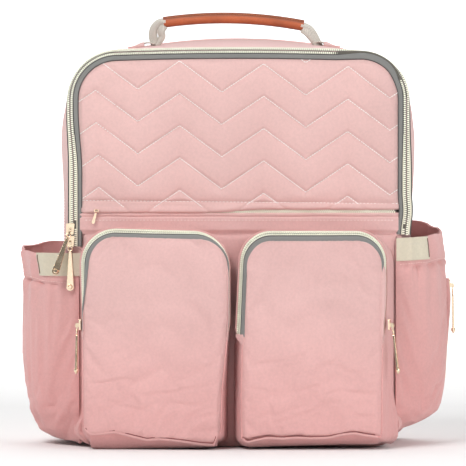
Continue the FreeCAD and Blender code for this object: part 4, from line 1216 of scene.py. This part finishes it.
def pouch_surface(side, z, t, grow=0.0):
    """Points on a side pocket's outer face, with its folds and gathers, and the direction out of it."""
    sign, low = side["sign"], side["low"]
    x, y = side_plan(side, z, t)
    point, seed = at(x * sign, y, z), 130 + 10 * sign
    lean = np.pi * (0.08 + 0.84 * t)
    out = at(sign * np.sin(lean), -np.cos(lean), 0)
    ends = np.sin(np.pi * np.clip(t, 0, 1)) ** 0.6
    seam_z = rim_height(side, t) - side["hem"]
    under = np.clip(seam_z - z, 0, 200)
    soft = 3.0 * noise(point, (60, 46, 70), seed, 2) + 2.0 * folds(point, (44, 38, 80), seed + 1) + side["full"]
    waves = np.sin(t * 60 + 2.0 * np.sin(t * 9))
    gather = waves * np.exp(-under / 17) * (z < seam_z)
    hem = 1.3 * smooth(z, seam_z - 0.6, seam_z + 1.4) + 0.6 * waves * smooth(z, seam_z - 1, seam_z + 4)
    pinch = -2.6 * np.exp(-(((z - seam_z + 1.6) / 2.0) ** 2))
    crush = 3.0 * folds(point, (34, 24, 30), seed + 2) * smooth(z, 120, 30)
    calm = 1.0
    if sign > 0:  # pleats under the tab, and the side zip keeps the cloth flat
        tucks = np.exp(-(((x - 176.5) / 1.4) ** 2)) + 0.8 * np.exp(-(((x - 181.5) / 1.1) ** 2))
        gather = gather - 1.7 * tucks * np.exp(-under / 13) * (z < seam_z) * (y < -25)
        calm = 1 - np.exp(-(((y + 5) / 12) ** 4)) * smooth(z, 50, 66) * smooth(z, 186, 172)
    offset = (soft + 2.3 * gather + hem + pinch - crush) * ends * calm * smooth(z, low, low + 14) + grow
    return point + out * offset[..., None], out


def build_side_pocket(name):
    """The pouch, its floor, the stitching of its hem and its webbing tab."""
    side = SIDES[name]
    sign, low_z = side["sign"], side["low"]
    t = np.linspace(0, 1, 90)[:, None]
    v = np.concatenate([between(0, 0.06, 6), np.linspace(0.06, 1, 74)])[None]
    rim = rim_height(side, t)
    z, seam_z = lerp(low_z, rim, v), rim - side["hem"]
    grid, out = pouch_surface(side, z, t)
    held = np.maximum(smooth(np.minimum(t, 1 - t), 0.03, 0.0), smooth(z, seam_z - 24, seam_z - 4))
    held = np.maximum(held, smooth(z, low_z + 4, low_z))
    if sign > 0:
        held = np.maximum(held, np.exp(-(((grid[..., 1] + 5) / 13) ** 4)))
    grid = drape(grid, held, 0.5, 0.014, sag=0.3, cap=3.0)
    grid[..., 0] -= out[..., 0] * 1.6 * smooth(v, 0.99, 1.0)
    pouch = shell(f"side_pouch_{name}", grid, 1.9, MAT["pink_deep"], flip=sign < 0)
    done(pouch, "bag", "pink_fabric_dark", f"side_pocket_{name}", f"side_pocket_{name}_hem")

    low = grid[:, 0]
    body_x = np.minimum(side_x(low[:, 1]) - foot_height(FOOT - low_z - 2, 0), np.abs(low[:, 0]) - 1)
    inner = at(sign * body_x, low[:, 1], low_z + 1.5)
    floor = lerp(low[:, None], inner[:, None], np.linspace(0, 1, 8)[None, :, None])
    done(shell(f"side_floor_{name}", floor, 1.6, MAT["pink_deep"], flip=sign > 0), "bag", "pink_fabric_dark")

    fine = np.linspace(0.03, 0.97, 200)
    line, up = pouch_surface(side, rim_height(side, fine) - side["hem"] + 2.2, fine)
    stitches(f"stitch_hem_{name}", line, up, MAT["pink_thread"], "bag", radius=0.34, lift=0.3)
    build_tab(name, side)


def build_tab(name, side):
    """The webbing tab over the hem's front end."""
    sign, (start, end, tilt) = side["sign"], side["tab"]
    z0, z1 = (corner[2] * 1000 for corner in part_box("side_tab_" + name))
    share = np.linspace(0, 0.5, 200)
    reach, _ = side_plan(side, np.full(200, (z0 + z1) / 2), share)
    t, z = np.meshgrid(np.linspace(start, np.interp(end, reach, share), 30), np.linspace(z0, z1, 12), indexing="ij")
    grid, out = pouch_surface(side, z + tilt * t / 0.4, np.maximum(t, 0.0), grow=1.7)
    grid[..., 0] -= sign * 6.0 * (t < 0)
    tab = shell("webbing_tab_" + name, grid, 1.5, MAT["tab"], flip=sign < 0)
    done(tab, "bag", "tab_webbing", "side_tab_" + name)
    up = out[-3, 1:-1]
    edge = grid[-2, 1:-1] + up * 0.2
    seam = sweep("tab_edge_" + name, edge, -beside(edge, up), up, rounded(1.1, 0.9, steps=2), MAT["brown_thread"])
    done(seam, "bag", "tab_webbing")


def build_side_zip():
    """The upright zip on the right side pocket. It stands out where its slider sits."""
    z = np.arange(66, 167.5, 1.5)
    path = at(table(SIDES["right"]["bulge"], z) + lerp(-0.8, 2.3, smooth(z, 95, 148)), -5.0, z)
    out, back = (1.0, 0, 0), path - [1.7, 0, 0]
    tape("side_zip_tape", back, OUT_BACK, out, -8, 8, 4.4, "pink_deep", "bag", "side_zip", radius=0.8)
    zip_rows("side_zip", path + [0.7, 0, 0], OUT_BACK, out, ("bag", "bag"), pitch=1.9, reach=2.4, height=1.2)


# ---- handle -------------------------------------------------------------------------------------------------

HANDLE_Y = 20.0
LEGS = {  # x and z down each webbing end: the long leg, and the short fold in front of it
    "left": (
        ((-73, 426.3), (-79, 426.4), (-84.4, 421), (-86, 413.5), (-84.6, 407), (-82, 401)),
        ((-74.5, 422), (-77.6, 417), (-76.6, 411.5), (-79.6, 406), (-82.4, 401)),
    ),
    "right": (
        ((64.5, 422.6), (70, 421.6), (75, 417), (78.2, 411), (80.6, 405.5), (82.5, 400.5)),
        ((66.5, 418.8), (70.8, 415.6), (75, 410.6), (78.6, 405), (81.2, 400.5)),
    ),
}


def grip_line(count):
    """Centre line of the grip, bowed upwards, and the directions up from it."""
    ends = (-75.0, 425.0), (67.0, 421.7)
    (cx, cz), radius = circle_through(ends[0], (-4.0, 429.3), ends[1])
    a = np.linspace(*(math.atan2(z - cz, x - cx) for x, z in ends), count)
    path = at(cx + radius * np.cos(a), HANDLE_Y, cz + radius * np.sin(a))
    return path, unit(np.cross(tangents(path), OUT_BACK))


def build_handle():
    """The leather wrap: a tube, left open at the top for a stitched fin."""
    path, up = grip_line(60)
    turns = [math.radians(112 + 316 * step / 26) for step in range(27)]
    profile = [(4.5 * math.cos(a), 4.5 * math.sin(a) - 0.2) for a in turns]
    profile += [(1.35, 4.9), (1.2, 6.0), (0.9, 6.5), (-0.9, 6.5), (-1.2, 6.0), (-1.35, 4.9)]
    done(sweep("leather_grip", path, OUT_BACK, up, profile, MAT["leather"]), "handle", "leather", "handle_grip")
    for name, y in (("front", -1.0), ("back", 1.0)):
        line, sewn = path[2:-2] + [0, 1.25 * y, 0] + up[2:-2] * 5.1, {"pitch": 2.6, "length": 1.9, "radius": 0.26}
        stitches("stitch_grip_" + name, line, (0, y, 0), MAT["leather_thread"], "handle", **sewn)
    build_handle_webbing()
    build_handle_anchors()


def build_handle_webbing():
    """The webbing through the grip: a folded, twisted leg at each end, down to the round seam it swings on."""
    for name, way in (("left", -1), ("right", 1)):
        for part, points, width, thick, y, twist in (
            ("leg", LEGS[name][0], 9.4, 5.0, 0.0, (0.15, 1.5)),
            ("fold", LEGS[name][1], 8.0, 4.6, -3.4, (1.5, 0.2)),
        ):
            forward = HANDLE_Y + y * np.sin(np.linspace(0.2, 1, 40) * math.pi)
            leg = np.insert(smooth_curve(points, 40), 1, forward, 1)
            turn = (np.linspace(*twist, 40) * way)[:, None]
            side = np.array(OUT_BACK) * np.cos(turn) + np.cross(tangents(leg), OUT_BACK) * np.sin(turn)
            nodes = ["handle_webbing"] if (name, part) == ("left", "leg") else []  # one CAD part for both ends
            band = ribbon(f"handle_{part}_{name}", leg, side, width, thick, MAT["webbing"])
            done(band, "handle", "webbing", *nodes)
    core, up = grip_line(40)
    tube = sweep("handle_core", core, OUT_BACK, up, rounded(6.0, 6.0, steps=3), MAT["webbing"])
    done(tube, "handle", "webbing")


def build_handle_anchors():
    """The flat ends of the handle's webbing on the top, each under a sewn patch."""
    for name, way, x0, x1 in (("left", -1, -84.6, -99.0), ("right", 1, 76.6, 92.0)):
        first = way < 0  # the CAD holds both ends as one part
        xs = np.linspace(x0, x1, 24)
        flat = at(xs, HANDLE_Y, top_height(xs, HANDLE_Y) + 2.2 + 1.8 * np.sin(np.linspace(0, math.pi, 24)))
        tail = ribbon(f"anchor_webbing_{name}", flat, OUT_BACK, 12.0, 1.6, MAT["webbing"])
        done(tail, "bag", "webbing", *(["handle_anchor_webbing"] if first else []))
        xs, ys = np.linspace(x1 - way * 4, x1 + way * 12, 14), np.linspace(HANDLE_Y - 13, HANDLE_Y + 13, 14)
        x, y = np.meshgrid(xs, ys, indexing="ij")
        hump = smooth(np.abs(y - HANDLE_Y), 13, 5) * smooth(way * (x - x1), 10, -3)
        z = top_height(x, y) + 1.7 + 3.2 * hump
        patch = shell(f"anchor_patch_{name}", at(x, y, z), 1.5, MAT["pink"], flip=way < 0)
        done(patch, "bag", "pink_fabric_dark", *(["handle_anchor_patches"] if first else []))
        for row, column in enumerate((1, -2)):
            line = at(xs, ys[column], z[:, column] + 0.2)
            stitches(f"stitch_patch_{name}_{row}", line, UPWARD, MAT["pink_thread"], "bag", radius=0.25, pitch=2.6)


def top_height(x, y):
    """Height of the bag's top cloth."""
    return lerp(arch_top(x, FRONT, 0), arch_top(x * 0.975, BACK, 0), depth_share(y))


def smooth_curve(points, count):
    """A Catmull-Rom curve through a few points, evenly resampled."""
    points = np.asarray(points, float)
    p = np.vstack([2 * points[0] - points[1], points, 2 * points[-1] - points[-2]])
    t = between(0, 1, 12)[:, None]
    out = []
    for a, b, c, d in (p[i : i + 4] for i in range(len(p) - 3)):
        out.append(0.5 * (2 * b + (c - a) * t + (2 * a - 5 * b + 4 * c - d) * t**2 + (3 * b - a - 3 * c + d) * t**3))
    return resample(np.vstack([*out, points[-1:]]), count=count)


# ---- shoulder straps ----------------------------------------------------------------------------------------

STRAP_Y = 77.2  # depth of the straps' middle


def build_strap(name, sign):
    """A padded strap with a webbing centre, its ladder lock, and the webbing down to the side seam."""
    body, top_x, cz, radius, half = "strap_" + name, 50.0, 386.0, 873.0, 28.0
    cx = top_x + radius
    angle = np.radians(np.linspace(180.0, 197.2, 90))
    s, u = np.linspace(0, 1, 90), np.linspace(-1, 1, 34)[None]
    tip = np.where(s > 0.955, np.sqrt(np.maximum(1 - ((s - 0.955) / 0.052) ** 2, 0.08)), 1)
    width = (half * (1 - 0.10 * s) * tip)[:, None]
    r = radius - u * width
    x, z = cx + r * np.cos(angle)[:, None], cz + r * np.sin(angle)[:, None]
    crown = (1 - np.abs(u) ** 3.0) ** 0.6
    ends = (smooth(s, 0, 0.03) * smooth(s, 1.0, 0.97))[:, None]
    channel = 1.1 * np.exp(-(((np.abs(u) * width - 13.5) / 1.3) ** 2))
    bump = 0.5 * noise(at(x, 0, z), (20, 1, 26), 160, 2)
    thick = (2.6 + (9.0 + bump - channel) * crown * (0.35 + 0.65 * ends)) / 2
    outer, inner = at(x * sign, STRAP_Y + thick, z), at(x * sign, STRAP_Y - np.minimum(thick, 5.4), z)
    pad = shell(f"strap_pad_{name}", outer, 0, MAT["pink"], inner=inner, flip=sign < 0)
    done(pad, body, "pink_fabric_dark", f"strap_{name}_pad")
    edge = np.vstack([outer[:, 0], outer[-1, 1:-1], outer[::-1, -1]])
    edge[:, 1] = STRAP_Y
    side = beside(edge, OUT_BACK)
    bind = sweep(f"strap_binding_{name}", edge, side, OUT_BACK, rounded(2.6, 4.2, steps=3), MAT["pink_deep"])
    done(bind, body, "pink_fabric_dark")
    # webbing sewn down the middle
    across = at(sign * np.cos(angle), 0, np.sin(angle))[4:]
    line = at(sign * cx, (STRAP_Y + thick[:, 17] + 0.7)[4:], cz) + across * radius
    done(ribbon(f"strap_webbing_{name}", line, across, 25.0, 1.5, MAT["webbing"]), body, "webbing")
    for way, row in (("in", -10.5), ("out", 10.5)):
        run = line + across * row + [0, 0.8, 0]
        stitches(f"stitch_strap_{name}_{way}", run, OUT_BACK, MAT["pink_thread"], body, radius=0.3)
    roll = at(sign * (top_x + np.linspace(-half + 1, half - 1, 30)), STRAP_Y, cz)
    top = sweep(f"strap_top_roll_{name}", roll, OUT_BACK, UPWARD, rounded(9.4, 9.4, steps=5), MAT["pink"])
    done(top, body, "pink_fabric_dark")
    build_strap_lower(name, sign)


def build_strap_lower(name, sign):
    """The webbing loop round the ladder lock's top bar, the lower webbing, its tail and its anchor."""
    body, flip = "strap_" + name, np.array([sign, 1, 1.0])
    lock, anchor, tilt = np.array([99.5, STRAP_Y, 109.0]), np.array([146.0, 71.4, 38.0]), math.radians(22.0)
    up, right = np.array([-math.sin(tilt), 0, math.cos(tilt)]), np.array([math.cos(tilt), 0, math.sin(tilt)])
    upper = [(1.4, 30.0), (1.9, 24.0), (2.7, 17.0)]
    bend = [(-2.7 * math.cos(a), 13.2 + 2.7 * math.sin(a)) for a in np.linspace(-math.pi, 0, 16)]
    profile = [(-y, h) for y, h in upper] + bend + upper[::-1]
    path = resample(np.array([lock + up * h + [0, y, 0] for y, h in profile]) * flip, 60)
    loop = ribbon(f"strap_loop_{name}_cloth", path, right * flip, 24.6, 1.3, MAT["webbing"])
    done(loop, body, "webbing", f"strap_{name}_loop")

    def webbing(part, points, count):
        curve = smooth_curve(points, count) * flip
        side = unit(np.cross(tangents(curve), OUT_BACK))
        return ribbon(f"strap_{part}_{name}", curve, side, 24.0, 1.3, MAT["webbing"])

    points = [lock + up * h + [0, y, 0] for h, y in ((3.0, -1.9), (-3.5, 1.5), (-9.0, -1.7), (-20, -3.6))]
    points += [lerp(lock - up * 20, anchor, k) + [0, -3.4 * (1 - k), 0] for k in (0.35, 0.7, 1.0)]
    span = points[3] * flip, anchor * flip
    done(webbing("lower_webbing", points, 60), (body, "bag", *span), "webbing", f"strap_{name}_webbing")
    tail = ((3.4, 0, 0.6), (2.0, 0, 4.2), (-14, 0, 5.6), (-34, -2.0, 4.6), (-52, -6.0, 3.4))
    done(webbing("tail", [lock + up * h + [x, y, 0] for h, x, y in tail], 40), body, "webbing")
    # the triangular anchor sewn into the side seam
    corners = np.array([(173.6, 17), (173.6, 66), (141, 58), (128.6, 44)], float)
    centre, outline = corners.mean(0), resample(corners, count=64, closed=True)

    def level(share, y):
        x, z = (centre + (outline - centre) * share).T
        return at(sign * x, y, z)

    loops = [level(share, y) for share, y in ((1.0, 68.4), (1.0, 70.0), (0.97, 70.8), (0.6, 71.1))]
    patch = cap_loops(f"strap_anchor_{name}", loops, MAT["pink_deep"])
    done(patch, "bag", "pink_fabric_dark", f"strap_{name}_anchor")
    stitches(f"stitch_anchor_{name}", level(0.88, 70.95), OUT_BACK, MAT["thread"], "bag", radius=0.3, closed=True)


def build_yoke():
    """The patch over the straps' top seams."""
    z, box, line = 385.5, rounded(172, 27, 4, 5), rounded(166, 21, 3, 5)
    levels = ((1.0, 68.3), (1.0, 70.0), (0.992, 70.7), (0.9, 70.8))
    patch = cap_loops("yoke_patch", [at(box[:, 0] * k, y, z + box[:, 1] * k) for k, y in levels], MAT["pink_deep"])
    done(patch, "bag", "pink_fabric_dark", "strap_yoke")
    line = at(line[:, 0], 70.85, z + line[:, 1])
    stitches("stitch_yoke", line, OUT_BACK, MAT["thread"], "bag", radius=0.3, closed=True)


# ---- metal and plastic that the CAD already shapes ----------------------------------------------------------


def finish_cad_nodes():
    for name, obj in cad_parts.items():
        metal = name.endswith(("_slider", "_pull"))
        if metal or name.endswith("ladder_lock"):
            obj.data.materials.clear()
            obj.data.materials.append(MAT["gold"] if metal else MAT["buckle"])
            bevel = obj.modifiers.new("soft edges", "BEVEL")
            bevel.width, bevel.segments, bevel.limit_method = 0.0003, 3, "ANGLE"


# ---- studio, in metres --------------------------------------------------------------------------------------


def build_studio():
    """White paper that curves up behind the bag, and four soft lights."""
    reach, bend, rise = 10.0, 2.0, 7.0
    flat = reach - bend
    curve = [(flat + bend * math.sin(a), bend - bend * math.cos(a)) for a in np.linspace(0.1, math.pi / 2, 14)]
    profile = [(-reach, 0.0), (flat, 0.0), *curve, (reach, rise)]
    floor = bpy.data.meshes.new("studio_floor")
    verts = [(x, y, z - 0.0004) for y, z in profile for x in (-reach, reach)]
    floor.from_pydata(verts, [], [(i, i + 1, i + 3, i + 2) for i in range(0, len(verts) - 2, 2)])
    floor.polygons.foreach_set("use_smooth", [True] * len(floor.polygons))
    stage = bpy.data.objects.new("studio_floor", floor)
    bpy.context.scene.collection.objects.link(stage)
    paper, tree, bsdf = shader("studio paper", (0.86, 0.86, 0.86), 0.9, Emission_Color=(1, 1, 1, 1))
    depth = node(tree, "SeparateXYZ", {0: place(tree)}).outputs[1]
    tree.links.new(ranged(tree, depth, 0.6, 3.0, 0.0, 0.85), bsdf.inputs["Emission Strength"])
    floor.materials.append(paper)
    for name, spot, aim, size, power in (
        ("key", (-1.2, -2.0, 2.4), (0, 0, 0.2), 1.3, 54),
        ("fill", (2.0, -2.1, 1.2), (0, 0, 0.2), 1.2, 29),
        ("top", (0.0, 0.2, 2.4), (0, 0, 0.3), 1.4, 7),
        ("front", (0.0, -5.6, 0.7), (0, 0, 0.7), 2.0, 13),
    ):
        light = bpy.data.lights.new(name, "AREA")
        light.size, light.energy = size, power
        obj = bpy.data.objects.new("light_" + name, light)
        obj.location, obj.visible_camera = spot, False
        obj.rotation_euler = (Vector(aim) - Vector(spot)).to_track_quat("-Z", "Y").to_euler()
        bpy.context.scene.collection.objects.link(obj)
    bpy.context.scene.view_settings.view_transform = "Standard"


def build_world():
    """White behind the bag and overhead, greyer towards the front, so that metal has something to show."""
    world = bpy.data.worlds.new("studio")
    bpy.context.scene.world = world
    world.use_nodes = True
    tree = world.node_tree
    way = node(tree, "SeparateXYZ", {0: node(tree, "TexCoord").outputs["Generated"]}).outputs[1]
    tree.links.new(ranged(tree, way, -0.55, 0.35, 0.20, 0.9), tree.nodes["Background"].inputs["Strength"])
    tree.nodes["Background"].inputs["Color"].default_value = (1.0, 0.995, 0.99, 1)


def build_camera():
    camera = bpy.data.cameras.new("camera")
    obj = bpy.data.objects.new("camera", camera)
    bpy.context.scene.collection.objects.link(obj)
    aim, away = Vector((-0.0045, -0.066, 0.214)), 5.0
    obj.location = aim + Vector((0, -away, 0.13))
    obj.rotation_euler = (aim - obj.location).to_track_quat("-Z", "Y").to_euler()
    camera.sensor_width, camera.clip_end = 36.0, 50.0
    camera.lens = camera.sensor_width * away / 0.466
    bpy.context.scene.camera = obj


build_studio()
build_world()
build_camera()
build_body()
build_lid()
build_main_zip()
build_pocket(LEFT)
build_pocket(RIGHT)
build_side_pocket("left")
build_side_pocket("right")
build_side_zip()
build_handle()
build_strap("left", -1)
build_strap("right", 1)
build_yoke()
finish_cad_nodes()
